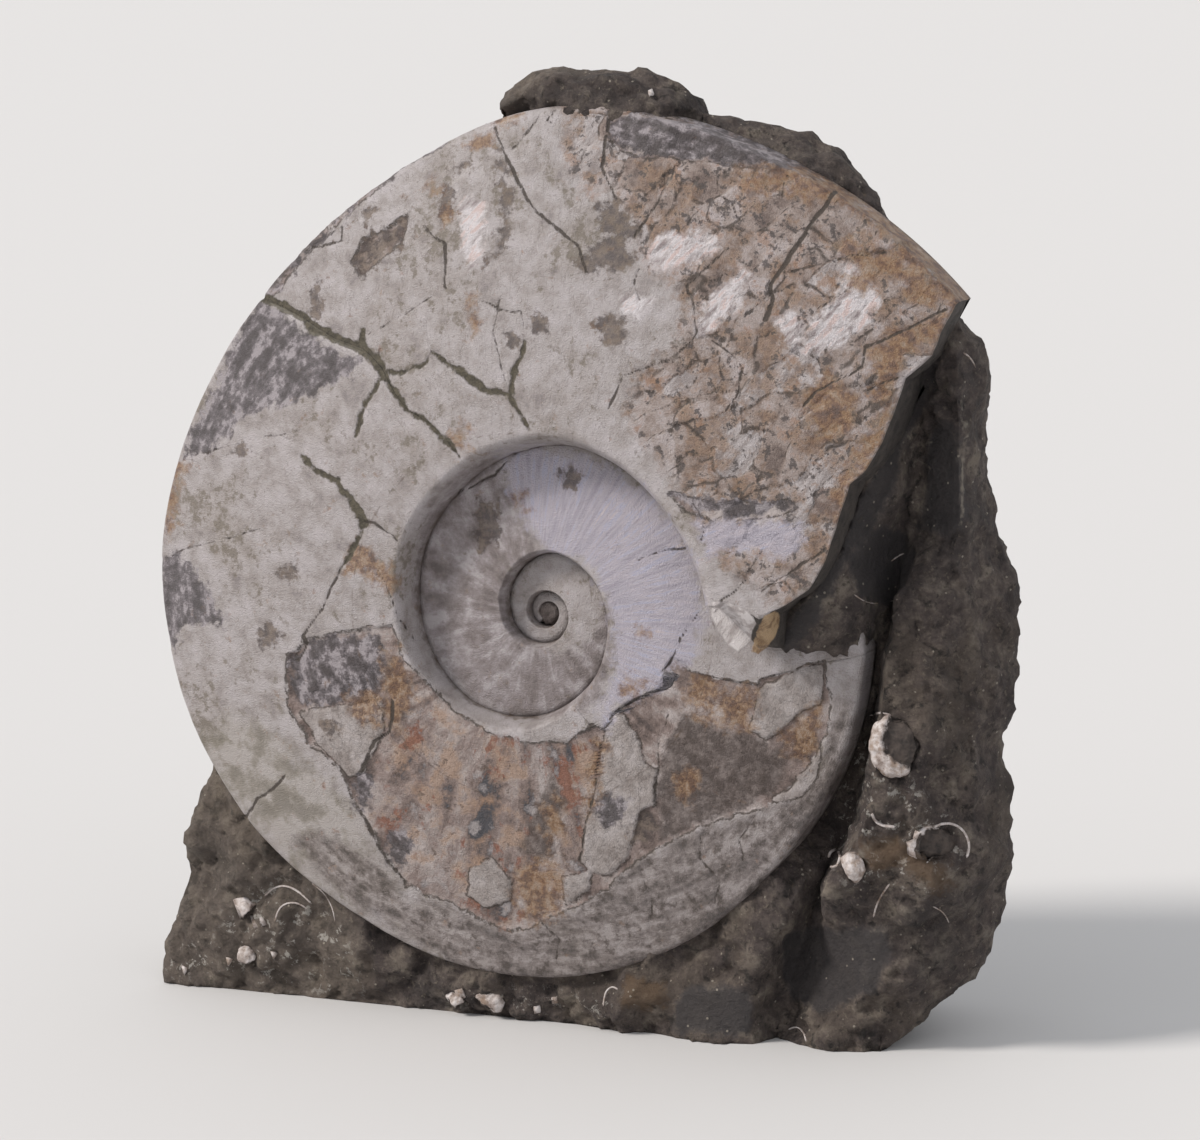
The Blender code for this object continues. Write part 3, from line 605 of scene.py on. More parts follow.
def whorl_rows(count):
    """Each row across a whorl: the part that it is on, and how far along."""
    rows = [("back", 1), ("back", 0)]
    rows += [("wall", share) for share in np.linspace(0, 1, WALL_ROWS)]
    rows += [("flank", share) for share in np.linspace(0, 1, count)[1:]]
    rows += [("round", share) for share in np.linspace(0, 1, ROUND_ROWS)[1:]]
    return rows + [("side", share) for share in np.linspace(0, 1, SIDE_ROWS)[1:]]


def row_section(part, share, angle):
    """Radius and height of one row at whorl angles."""
    seam, outer = seam_radius(angle), outer_radius(angle)
    crest, limit = seam * CREST_SHARE, outer - RIM_ROUND
    edge = flank_height(angle, limit)
    if part == "back":
        radius = outer + INTO_STONE if share else seam
        return radius, np.full_like(angle, BACK_RISE)
    if part == "wall":
        radius = seam + (crest - seam) * share
        return radius, shell_height(angle, radius)
    if part == "flank":
        radius = crest + (limit - crest) * share
        return radius, flank_height(angle, radius)
    if part == "round":
        turn = math.radians(90 * share)
        return (limit + RIM_ROUND * math.sin(turn),
                edge - RIM_ROUND * (1 - math.cos(turn)))
    top = edge - RIM_ROUND
    return outer + INTO_STONE * share, top + (BACK_RISE - top) * share


def line_angle(readings, part, share):
    """The whorl angle where a row meets a line that runs across the whorl."""
    radii, angles = zip(*readings)
    angle = np.array([float(angles[-1])])
    for _ in range(12):
        radius = row_section(part, share, angle)[0]
        angle = (angle + np.interp(radius, radii, angles)) / 2
    return angle[0]


def column_shares(first, last):
    """Shares of the way round that step evenly along the outside."""
    angles = np.linspace(first, last, 4000)
    radius = outer_radius(angles)
    steps = np.hypot(np.diff(radius), radius[1:] * np.radians(np.diff(angles)))
    length = np.concatenate(((0,), np.cumsum(steps)))
    even = np.linspace(0, length[-1], int(length[-1] / SPACING) + 1)
    return (np.interp(even, length, angles) - first) / (last - first)


def on_fossil(angle, radius, height):
    turn = np.radians(angle)
    return np.stack((AXIS_X + radius * np.sin(turn), MEDIAN_Y - height,
                     AXIS_Z + radius * np.cos(turn)), axis=-1)


def shell_relief(places, marks):
    """How far the surface stands out from the even whorl, in millimetres."""
    flaked = ease(0.7, -0.7, marks["flaked"]) * ease(-0.9, 0.7, marks["raised"])
    mosaic = ease(3, -3, marks["mosaic"])
    bent = places.copy()
    for size, reach in PLATE_BENDS:
        bent += drift(places, size).reshape(places.shape) * reach
    plates, plate_face, plate_edge = chips(bent @ PLATE_RUN, PLATE_SIZE)
    marks["plate"], marks["plate_edge"] = plates, plate_edge * 1000
    relief = 0.45 * lumps(places, 0.045) + 0.16 * lumps(places, 0.012, 3)
    relief += mosaic * (plate_face * 2.0 + (plates - 0.5) * 0.55)
    relief += flaked * (0.35 * lumps(places, 0.005, 3) - 0.85)
    relief -= 0.28 * ease(0.5, -0.5, marks["dark"]) * (1 - flaked)
    relief -= 0.22 * ease(0.5, -0.5, marks["stained"])
    relief -= (0.65 + 0.25 * lumps(places, 0.0025)) * ease(0.5, -0.9, marks["wide_crack"])
    relief -= 0.30 * ease(0.4, -0.3, marks["hairline"])
    return relief


def beside(values, side, column):
    """Values with one more column, before the first or after the last."""
    return np.concatenate((values, side) if column else (side, values), axis=1)


def make_whorl(name, first, last, flank_rows, finish, foot=None):
    """A swept piece of shell between two lines across it, closed all round."""
    rows = whorl_rows(flank_rows)
    shares = column_shares(first[-1][1], last[-1][1])
    angles = np.empty((len(rows), len(shares)))
    radius, height = np.empty_like(angles), np.empty_like(angles)
    for i, (part, share) in enumerate(rows):
        start, end = (line_angle(line, part, share) for line in (first, last))
        angles[i] = start + (end - start) * shares
        radius[i], height[i] = row_section(part, share, angles[i])
    places = on_fossil(angles, radius, height)
    seam_gap = np.minimum(radius - seam_radius(angles),
                          np.abs(seam_radius(angles + 360) - radius)) * 1000
    marks = read_places(places, SHELL_AREAS, SHELL_LINES)
    along, across = (np.gradient(places, axis=axis) for axis in (1, 0))
    out = np.cross(along, across)
    out /= np.linalg.norm(out, axis=-1, keepdims=True) + 1e-12
    out *= -np.sign((out[..., 1]).mean())
    relief = shell_relief(places, marks) * 0.001
    relief[:2] = 0
    relief[-1] = 0
    places = places + out * relief[..., None]
    marks["seam"] = seam_gap
    marks["infill_and_shade_depth"] = np.zeros_like(seam_gap)
    if foot:
        ends = [np.array([line_angle(foot, *row)]) for row in rows]
        feet = np.array([on_fossil(end, *row_section(*row, end))[0]
                         for row, end in zip(rows, ends)])
        places, marks = add_cliff(places, marks, feet)
    for column in (0, -1):
        end = places[:, column]
        pole = np.broadcast_to(end.mean(0), end.shape)[:, None]
        places = beside(places, pole, column)
        for kind, values in marks.items():
            marks[kind] = beside(values, values[:, column][:, None], column)

    bm = bmesh.new()
    tall, wide = places.shape[:2]
    bmesh.ops.create_grid(bm, x_segments=wide - 1, y_segments=tall - 1, size=0.5)
    move(bm, places.reshape(-1, 3))
    mark(bm, marks)
    bmesh.ops.remove_doubles(bm, verts=bm.verts, dist=1e-6)
    bmesh.ops.recalc_face_normals(bm, faces=bm.faces)
    finished(name, bm, "shell", finish, "ammonite")


def add_cliff(places, marks, foot):
    """The broken end: columns that fall from the last one and lean out to its foot."""
    edge = places[:, -1]
    inward = edge - places[:, -1 - END_COLUMNS]
    inward[:, 1] = 0
    inward /= np.linalg.norm(inward, axis=1, keepdims=True) + 1e-9
    lean = foot - edge
    lean[:, 1] = 0
    columns = []
    back = MEDIAN_Y - BACK_RISE
    for share in np.linspace(0, 1, CLIFF_COLUMNS + 1)[1:]:
        fallen = edge.copy()
        fallen[:, 1] += (back - edge[:, 1]) * share
        out = np.minimum(1, (fallen[:, 1] - edge[:, 1]) / LEAN_DEPTH)
        rough = 0.0022 * abs(lumps(fallen, 0.011, 3)) * math.sin(math.pi * share)
        rough[edge[:, 1] > back - 1e-6] = 0
        fallen += lean * out[:, None] + inward * rough[:, None]
        columns.append(fallen)
    cliff = np.stack(columns, axis=1)
    seen = read_places(cliff, SHELL_AREAS, SHELL_LINES)
    seen["infill_and_shade_depth"] = (cliff[..., 1] - edge[:, None, 1]) * 1000
    for kind, values in marks.items():
        side = seen.get(kind, np.repeat(values[:, -1:], CLIFF_COLUMNS, axis=1))
        marks[kind] = np.concatenate((values, side), axis=1)
    return np.concatenate((places, cliff), axis=1), marks


def make_core(finish):
    """The sugary knob that fills the middle of the coil."""
    bm = bmesh.new()
    bmesh.ops.create_icosphere(bm, subdivisions=5, radius=1)
    for vert in bm.verts:
        lump = 1 + 0.10 * noise.fractal(vert.co * 2.5, 1, 2, 4)
        vert.co = Vector((AXIS_X, MEDIAN_Y + CORE_SINK, AXIS_Z)) + Vector(
            [part * size * lump for part, size in zip(vert.co, CORE_SIZE)])
    marks = {"sooty": np.full(len(bm.verts), -5.0)}
    for kind in (*SHELL_AREAS, *SHELL_LINES, "seam"):
        marks.setdefault(kind, np.full(len(bm.verts), float(REACH)))
    mark(bm, marks)
    bmesh.ops.recalc_face_normals(bm, faces=bm.faces)
    finished("core_knob", bm, "shell", finish, "ammonite")


# Places on the stone, in pixels of the photograph.
STONE_AREAS = {
    "slate": {
        "smooth face": ((928, 430), (948, 424), (962, 440), (962, 528), (940, 534), (918, 530),
            (922, 490)),
        # The round imprint is smooth dark stone; its dark colour also stands for the shade in its
        # hollow.
        "shaded imprint": ((862, 536), (884, 526), (906, 534), (915, 556), (910, 584), (896, 602),
            (874, 606), (856, 594), (850, 566)),
        "smooth foot": ((672, 1006), (690, 990), (720, 984), (752, 988), (752, 1034), (716, 1036),
            (676, 1030)),
        "hollow": ((782, 934), (812, 926), (852, 930), (886, 926), (891, 948), (878, 984),
            (846, 1004), (812, 1010), (790, 996), (782, 968)),
        "living chamber": ((905, 392), (930, 360), (944, 345), (930, 400), (905, 450), (880, 520),
            (850, 560), (832, 600), (800, 640), (780, 648), (790, 616), (838, 552), (866, 486),
            (893, 434)),
    },
    # Painted light: the left of the block and the knob are painted paler, as where the light from
    # the upper left falls strongest.
    "lit_paler": {
        "left": ((130, 1000), (134, 900), (160, 810), (196, 736), (246, 796), (300, 860),
            (360, 920), (356, 1010), (240, 1000)),
        "knob": ((492, 120), (500, 76), (530, 60), (590, 54), (604, 66), (572, 74), (540, 84),
            (520, 104), (512, 122)),
    },
    "shelly": {
        "lower left": ((232, 880), (290, 872), (352, 925), (372, 1000), (300, 1000), (232, 985),
            (160, 980), (160, 940), (215, 930)),
        "foot": ((440, 985), (520, 985), (620, 990), (620, 1020), (440, 1012)),
        "lump": ((840, 700), (950, 810), (975, 870), (930, 900), (840, 890), (826, 850)),
    },
    "rust": {
        "at the foot": ((630, 980), (660, 984), (664, 1006), (640, 1012), (626, 1000)),
        "right of the pearl": ((858, 842), (884, 838), (908, 846), (906, 864), (880, 872),
            (860, 862)),
        "lump": ((905, 850), (940, 860), (960, 885), (930, 892), (905, 872)),
    },
}
STONE_LINES = {
    "pale_line": (
        (((962, 395), (964, 440), (963, 490), (960, 530)), 0.8, 0.8),
        (((895, 438), (912, 448), (932, 442)), 0.4, 0.4),
        (((898, 452), (914, 458), (930, 470)), 0.4, 0.4),
        (((905, 431), (916, 450), (914, 468)), 0.4, 0.4),
    ),
}
FINE_STEP, SIDE_STEP, BACK_STEP = ((
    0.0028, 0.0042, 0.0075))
ROOM_GAP, ROOM_LAP = 0.0013, 0.0042
FRONT_OF_BACK, BEHIND = 0.045, 0.0
# The stone's lumps: how wide and how high, in metres. Then its broken faces: how wide,
# how steep and how bent.
STONE_LUMPS = (0.034, 0.0020), (0.0035, 0.0008)
STONE_FACETS = (0.026, 0.0085, 0.004), (0.0105, 0.0060, 0.002), (0.0048, 0.0026, 0.001)
# The facets of this size give the gaps between facets that are painted with shade.
SHADED_CREVICE_SIZE = STONE_FACETS[1][0]
ABOVE_BASE = 0.0004


def split_long_edges(bm, longest, room):
    """Halve every edge that is longer than its place allows."""
    for _ in range(6):
        long = [edge for edge in bm.edges
                if edge.calc_length() > longest(edge)
                and not (edge.verts[0] in room and edge.verts[1] in room)]
        if not long:
            return
        bmesh.ops.subdivide_edges(bm, edges=long, cuts=1, use_grid_fill=True,
                                  use_single_edge=True)
        many_sided = [face for face in bm.faces if len(face.verts) > 3]
        bmesh.ops.triangulate(bm, faces=many_sided)


def stone_step(edge):
    middle = (edge.verts[0].co + edge.verts[1].co) / 2
    if middle.y > FRONT_OF_BACK or middle.z < ABOVE_BASE:
        return BACK_STEP
    facing = (edge.verts[0].normal + edge.verts[1].normal).y / 2
    return FINE_STEP if facing < -0.35 else SIDE_STEP


def make_stone(finish):
    """The block: the frame's solid, cut finer and broken up. Gives back its faces."""
    bm, fossil = solid("matrix"), solid("ammonite")
    fossil_tree = BVHTree.FromBMesh(fossil)
    fossil.free()
    room = set()
    for vert in bm.verts:
        place, facing, _, gap = fossil_tree.find_nearest(vert.co)
        if gap < ROOM_GAP:
            room.add(vert)
            vert.co = place - facing * ROOM_LAP
    split_long_edges(bm, lambda edge: BACK_STEP, room)
    bm.normal_update()
    loose = [vert for vert in bm.verts if vert not in room and vert.co.z > ABOVE_BASE]
    bmesh.ops.smooth_vert(bm, verts=loose, factor=0.5, use_axis_x=True,
                          use_axis_y=True, use_axis_z=True)
    bm.normal_update()
    split_long_edges(bm, stone_step, room)
    places, normals = skin(bm)
    marks = read_places(places, STONE_AREAS, STONE_LINES)
    behind = places[:, 1] > BEHIND
    for depth in marks.values():
        depth[behind] = REACH
    slate = ease(2.5, -1.5, marks["slate"])
    rough = sum(height * lumps(places, size, 3) for size, height in STONE_LUMPS)
    for size, height, bend in STONE_FACETS:
        tones, faces, edges = chips(places + drift(places, size) * bend, size, 0.09)
        rough += height * faces
        if size == SHADED_CREVICE_SIZE:
            marks["facet"], marks["shaded_crevice"] = tones, edges * 1000
    rough *= (0.75 + 0.75 * ease(0.3, 0.9, -normals[:, 1])) * (1 - 0.85 * slate)
    rough -= 0.0004 * slate
    rough += 0.0004 * ease(0.6, -0.3, marks["pale_line"])
    low, high = (np.array(corner) for corner in cad_box)
    base = places[:, 2] < ABOVE_BASE
    moved = places + normals * rough[:, None]
    held = np.array([vert in room for vert in bm.verts])
    moved[held] = places[held]
    moved[base, 2] = places[base, 2]
    moved = np.clip(moved, low, high)
    moved[~base, 2] = np.maximum(moved[~base, 2], 0.00005)
    move(bm, moved)
    mark(bm, marks)
    tree = BVHTree.FromBMesh(bm)
    finished("mudstone_block", bm, "mudstone", finish, "matrix")
    return tree


def node(tree, kind, inputs=None, stops=None, **settings):
    """Add a shader node with its settings, its values and its links."""
    made = tree.nodes.new("ShaderNode" + kind)
    for setting, value in settings.items():
        setattr(made, setting, value)
    for key, value in (inputs or {}).items():
        if isinstance(value, bpy.types.NodeSocket):
            tree.links.new(value, made.inputs[key])
        else:
            made.inputs[key].default_value = value
    for i, (position, colour) in enumerate(stops or ()):
        ramp = made.color_ramp.elements
        stop = ramp[i] if i < 2 else ramp.new(position)
        stop.position, stop.color = position, linear(colour)
    return made


def linear(colour):
    """An sRGB hex colour as linear red, green, blue and alpha."""
    parts = [int(colour[i:i + 2], 16) / 255 for i in (1, 3, 5)]
    return [part / 12.92 if part <= 0.04045 else ((part + 0.055) / 1.055) ** 2.4
            for part in parts] + [1.0]


def start_finish(name, roughness, grains=()):
    """A new material with its tree, shader and coordinates, and its soft noises. Each
    grain is a noise's size in millimetres, its detail and its roughness."""
    made = bpy.data.materials.new(name)
    made.use_nodes = True
    tree = made.node_tree
    shader = tree.nodes["Principled BSDF"]
    shader.inputs["Roughness"].default_value = roughness
    coords = node(tree, "TexCoord").outputs["Object"]
    noises = [node(tree, "TexNoise", {"Vector": coords, "Scale": 1000 / size,
                                      "Detail": detail, "Roughness": rough}).outputs[0]
              for size, detail, rough in grains]
    return made, tree, shader, coords, *noises


def marked(tree, kind, torn, reach):
    """How far outside a kind of place a point is, in mm, with an edge torn by noise."""
    depth = node(tree, "Attribute", attribute_name=kind).outputs["Fac"]
    torn = node(tree, "Math", {0: torn, 1: -0.5}, operation="ADD").outputs[0]
    return node(tree, "Math", {0: torn, 1: reach, 2: depth},
                operation="MULTIPLY_ADD").outputs[0]


def on(tree, kind, torn, reach, edge):
    """A bound for lay_on: full on a kind of place, and soft over its edge."""
    return marked(tree, kind, torn, reach), edge, -edge


def round_the_axis(tree, coords, pull):
    """Coordinates that turn with the coil. A low pull draws streaks from its middle,
    and a high one draws them along the coil."""
    flat = node(tree, "VectorMath", {0: coords, 1: (1, 0, 1), 2: (-AXIS_X, 0, -AXIS_Z)},
                operation="MULTIPLY_ADD").outputs[0]
    radius = node(tree, "VectorMath", {0: flat}, operation="LENGTH").outputs["Value"]
    turned = node(tree, "VectorMath", {0: flat}, operation="NORMALIZE").outputs[0]
    out = node(tree, "CombineXYZ", {"Y": radius}).outputs[0]
    return node(tree, "VectorMath", {0: out, 1: (1, pull, 1), 2: turned},
                operation="MULTIPLY_ADD").outputs[0]


def lay_on(tree, laid, colour, roughness, step, strength, *bounds):
    """Cover the colour, roughness and height so far. A bound is a value with the levels
    where the cover starts and is full. A colour may be a value with its stops."""
    under, dullness, height = laid
    mask = strength
    for value, start, full in bounds:
        shown = node(tree, "MapRange", {0: value, 1: start, 2: full}).outputs[0]
        mask = node(tree, "Math", {0: shown, 1: mask}, operation="MULTIPLY").outputs[0]
    if isinstance(colour, str):
        colour = linear(colour)
    else:
        colour = node(tree, "ValToRGB", {0: colour[0]}, stops=colour[1:]).outputs[0]
    over = node(tree, "Mix", {0: mask, 6: under, 7: colour}, data_type="RGBA")
    rough = node(tree, "Mix", {0: mask, 2: dullness, 3: roughness})
    if step:
        height = node(tree, "Math", {0: mask, 1: step, 2: height},
                      operation="MULTIPLY_ADD").outputs[0]
    return over.outputs[2], rough.outputs[0], height


def dress(tree, shader, laid):
    colour, roughness, height = laid
    bump = node(tree, "Bump", {"Height": height, "Distance": 0.001, "Strength": 1.0})
    for socket, value in (("Base Color", colour), ("Roughness", roughness),
                          ("Normal", bump.outputs[0])):
        tree.links.new(value, shader.inputs[socket])


SHELL_GRAINS = ((34, 4, 0.6), (9, 6, 0.65), (2.2, 4, 0.7), (0.7, 2, 0.8), (6, 6, 0.66),
                (13, 6, 0.62), (4.2, 6, 0.68))
# Noise that turns with the coil: its pull, its size and its detail.
COIL_GRAINS = (3.2, 150, 5), (1.7, 38, 5), (24, 130, 6), (8, 210, 6), (2.6, 120, 5)


def shell_finish():
    """Weathered aragonite: satin, grey-beige, with pearly layers where it flaked."""
    (made, tree, shader, coords, broad, middle, fine, grain, torn, second,
     third) = start_finish("weathered aragonite shell", 0.5, SHELL_GRAINS)
    shader.inputs["IOR"].default_value = 1.55
    shader.inputs["Coat Weight"].default_value = 0.12
    shader.inputs["Coat Roughness"].default_value = 0.35
    streaks, rays, along, spokes, rusty = (
        node(tree, "TexNoise", {"Vector": round_the_axis(tree, coords, pull),
                                "Scale": 1000 / size, "Detail": detail,
                                "Roughness": 0.62}).outputs[0]
        for pull, size, detail in COIL_GRAINS)
    # Half of each stain's noise is even, so that it breaks up into patches.
    streaks, rusty, along, spokes = (
        node(tree, "Mix", {0: 0.5, 2: turning, 3: even}).outputs[0]
        for turning, even in ((streaks, second), (rusty, middle), (along, third),
                              (spokes, middle)))
    slant = node(tree, "Mapping", {"Vector": coords, "Rotation": (0, SLANT, 0),
                                   "Scale": (5, 1, 1)}, vector_type="TEXTURE").outputs[0]
    satin = node(tree, "TexNoise", {"Vector": slant, "Scale": 1000 / 3, "Detail": 4,
                                    "Roughness": 0.6}).outputs[0]
    plate, edge, fallen = (node(tree, "Attribute", attribute_name=kind).outputs["Fac"]
                           for kind in ("plate", "plate_edge", "infill_and_shade_depth"))
    pits = node(tree, "Math", {0: broad, 1: third}, operation="ADD").outputs[0]
    tone = node(tree, "Math", {0: plate, 1: 0.22, 2: middle},
                operation="MULTIPLY_ADD").outputs[0]
    mosaic, mottled = (on(tree, kind, torn, 24, 3) for kind in ("mosaic", "mottled"))
    flaked, raised = marked(tree, "flaked", torn, 6), marked(tree, "raised", torn, 5)
    colour = node(tree, "ValToRGB", {0: middle}, stops=(
        (0.30, "#817979"), (0.42, "#968E8C"), (0.52, "#A39C9C"), (0.66, "#AEA7A9")))
    rough = node(tree, "MapRange", {0: fine, 1: 0.3, 2: 0.7, 3: 0.28, 4: 0.6})
    laid = colour.outputs[0], rough.outputs[0], grain
    for layer in (
            ("#8F857E", 0.55, 0, 0.45, (broad, 0.50, 0.66)),
            ("#6C6357", 0.7, -0.15, 0.75, (pits, 1.10, 1.20)),
            ("#5F574C", 0.7, -0.12, 0.7, (fine, 0.66, 0.72)),
            # Thin growth lines, where the rays are neither pale nor dark.
            ("#665D57", 0.6, -0.06, 0.45, (rays, 0.492, 0.498), (rays, 0.508, 0.502)),
            # The whorl inside is dull, in darker and paler spokes.
            ((spokes, (0.41, "#5C5251"), (0.47, "#756B6A"), (0.53, "#8A8182"),
              (0.59, "#A8A1A3")), 0.55, 0, 0.85, on(tree, "dull", torn, 16, 2)),
            ((second, (0.40, "#6F685C"), (0.48, "#878076"), (0.56, "#A39C98")), 0.6, -0.1,
             0.8, on(tree, "drab", torn, 20, 4)),
            # The lower rim is rubbed and pitted, and streaked along the coil; it is also painted
            # darker, as the shade that lies on the lower rim.
            ((along, (0.41, "#3F3632"), (0.46, "#5C524E"), (0.51, "#766C69"),
              (0.58, "#9A9290")), 0.7, -0.2, 0.85,
             on(tree, "weathered_and_shaded", torn, 14, 2.5)),
            ("#4A403A", 0.7, -0.2, 0.6, (third, 0.43, 0.38),
             on(tree, "weathered_and_shaded", torn, 14, 2.5)),
            # The upper right is a mosaic of peeled plates, each stained in its own way.
            ((tone, (0.46, "#5F4E47"), (0.54, "#7C6B63"), (0.60, "#8A7B74"),
              (0.66, "#978A85"), (0.73, "#A59A99")), 0.45, 0, 0.9, mosaic),
            ((satin, (0.42, "#918988"), (0.58, "#B9B2B3")), 0.3, 0.1, 0.8,
             (plate, 0.22, 0.18), mosaic),
            ((third, (0.38, "#57402F"), (0.48, "#795C45"), (0.58, "#8E745C")), 0.55,
             -0.1, 0.68, (second, 0.48, 0.58), mosaic),
            ("#86603F", 0.5, 0, 0.55, (middle, 0.57, 0.64), mosaic),
            ("#433B3A", 0.6, -0.15, 0.85, (third, 0.555, 0.60), mosaic),
            # Dark lines along the plate edges: dark seams, and painted shadow where the plates
            # step.
            ("#3B3029", 0.7, -0.35, 0.85, (edge, 0.9, 0.3), (torn, 0.48, 0.53), mosaic),
            # Where the outer shell is gone, a dark line round its edge is painted shadow, and
            # inside it the stained filling of the shell shows in rays.
            ("#40362F", 0.7, -0.3, 0.9, (flaked, 1.0, 0.6), (third, 0.43, 0.50)),
            ((streaks, (0.41, "#4B3E3B"), (0.46, "#6E5E58"), (0.50, "#867671"),
              (0.54, "#9A8E8A"), (0.59, "#ADA3A1")), 0.6, 0, 1, (flaked, 0.2, -0.4)),
            ("#94745A", 0.6, -0.1, 0.65, (second, 0.50, 0.60), mottled),
            ("#7C4A34", 0.6, -0.1, 0.8, (rusty, 0.54, 0.58), mottled),
            ("#3F4047", 0.6, -0.15, 0.85, (streaks, 0.455, 0.42), mottled),
            ("#4C3A2F", 0.6, -0.15, 0.7, (third, 0.60, 0.65), mottled),
            ("#B0A7A6", 0.5, 0.1, 0.65, (second, 0.43, 0.36), mottled),
            ((third, (0.38, "#3F342E"), (0.46, "#524642"), (0.54, "#5F5450"),
              (0.64, "#786D69")), 0.7, 0, 0.92, on(tree, "sooty", torn, 14, 1.5)),
            # Painted shadow: a dark line round each raised plate.
            ("#40362F", 0.7, -0.1, 0.9, (raised, 1.0, 0.6), (third, 0.43, 0.50)),
            ((middle, (0.36, "#847A76"), (0.50, "#9A918E"), (0.64, "#AAA2A1")), 0.5, 0.35,
             1, (raised, 0.3, -0.3)),
            # Mother-of-pearl, bluish on the inside and pinkish outside.
            ((rays, (0.34, "#958F9B"), (0.45, "#A29DA9"), (0.53, "#AFA7B0"),
              (0.60, "#A1A2B7"), (0.68, "#B5AAAE")), 0.3, 0, 0.9,
             on(tree, "nacre", torn, 20, 2)),
            # Pearly spots, partly painted highlight: near-white where the nacre shines.
            ((satin, (0.36, "#8A7F80"), (0.45, "#B0A8A9"), (0.54, "#CFCACD"),
              (0.63, "#C8B4B1")), 0.3, 0, 0.9, on(tree, "pearl", torn, 16, 1.5)),
            # Stains, from violet grey to rust.
            ((along, (0.43, "#3A3335"), (0.48, "#504A4D"), (0.52, "#676064"),
              (0.57, "#989195")), 0.6, -0.2, 0.92, on(tree, "dark", torn, 18, 1)),
            ((third, (0.42, "#443A38"), (0.60, "#726459")), 0.7, -0.2, 0.85,
             on(tree, "stained", torn, 24, 1.2)),
            ((third, (0.36, "#4A3225"), (0.45, "#6B4C37"), (0.53, "#876849"),
              (0.63, "#9C8775")), 0.6, 0, 0.85, on(tree, "rust", torn, 24, 2.5)),
            # Cracks, the seam, and the broken end.
            ((fine, (0.35, "#3D382F"), (0.65, "#5E5749")), 0.9, -0.4, 1,
             on(tree, "wide_crack", torn, 5, 0.35)),
            ("#3A312A", 0.8, -0.4, 0.92, (marked(tree, "hairline", torn, 2.2), 0.18, -0.22)),
            ("#54453B", 0.8, 0, 1, (marked(tree, "seam", torn, 2), 0.5, -0.3)),
            # The broken end: dark filling stone, painted darker still as the shade on it.
            ((third, (0.36, "#272220"), (0.60, "#443D38")), 0.9, 0.1, 1,
             (fallen, 0.9, 1.3)),
            ((satin, (0.40, "#A49B9A"), (0.56, "#D2CCCC")), 0.3, 0.2, 1,
             on(tree, "white_end", torn, 1.5, 0.3)),
            ((satin, (0.42, "#7E6346"), (0.56, "#A88E6E")), 0.4, 0.2, 1,
             on(tree, "ochre_end", torn, 1.5, 0.3))):
        laid = lay_on(tree, laid, *layer)
    dress(tree, shader, laid)
    return made


STONE_GRAINS = (45, 5, 0.65), (12, 9, 0.74), (2.4, 4, 0.7), (5, 8, 0.7)


def stone_finish():
    """Dark mudstone, prepared with a chisel: dull, chipped and full of shell dust."""
    made, tree, shader, coords, broad, middle, fine, torn = start_finish(
        "dark mudstone", 0.9, STONE_GRAINS)
    specks = node(tree, "TexVoronoi", {"Vector": coords, "Scale": 1000 / 6})
    facet, shaded_crevice = (node(tree, "Attribute", attribute_name=kind).outputs["Fac"]
                      for kind in ("facet", "shaded_crevice"))
    # The colour reads the noise that also sets the bump's height, so the stone is painted darker
    # where its surface is low: painted shade, with the stone's own patchy tone.
    tone = node(tree, "Math", {0: facet, 1: 0.09, 2: middle},
                operation="MULTIPLY_ADD").outputs[0]
    colour = node(tree, "ValToRGB", {0: tone}, stops=(
        (0.36, "#2E2725"), (0.48, "#443B39"), (0.58, "#5B514C"), (0.71, "#82786D")))
    rough = node(tree, "MapRange", {0: fine, 1: 0.2, 2: 0.8, 3: 0.8, 4: 1.0})
    heights = node(tree, "Math", {0: middle, 1: 6.0, 2: fine}, operation="MULTIPLY_ADD")
    laid = colour.outputs[0], rough.outputs[0], heights.outputs[0]
    for layer in (
            ("#63584C", 0.9, 0, 0.35, (broad, 0.50, 0.62)),
            ("#353130", 0.85, 0, 0.4, (broad, 0.46, 0.36)),
            ("#82786B", 0.9, 0.25, 0.55, (fine, 0.58, 0.68)),
            # Painted shade: near-black in sunken pits.
            ("#1F1B19", 0.9, -0.4, 0.6, (torn, 0.43, 0.36)),
            # Painted shade: near-black along the facet edges, in the gaps between facets.
            ("#1F1B19", 0.9, -0.4, 0.7, (shaded_crevice, 1.3, 0.3), (torn, 0.49, 0.43)),
            # Painted light: paler on the left of the block and on the knob.
            ("#8B8073", 0.9, 0, 0.22, on(tree, "lit_paler", middle, 24, 3)),
            ("#B4AFA8", 0.6, 0.2, 0.8, (torn, 0.57, 0.61),
             on(tree, "shelly", torn, 24, 3)),
            ("#383435", 0.6, 0.5, 0.85, on(tree, "slate", middle, 12, 1.5)),
            ("#6B553F", 0.9, 0, 0.6, on(tree, "rust", middle, 24, 2)),
            ("#A39A8D", 0.6, 0.15, 0.75, (specks.outputs["Distance"], 0.10, 0.07)),
            ("#7D756A", 0.7, 0.2, 1, on(tree, "pale_line", fine, 2, 0.3))):
        laid = lay_on(tree, laid, *layer)
    dress(tree, shader, laid)
    return made


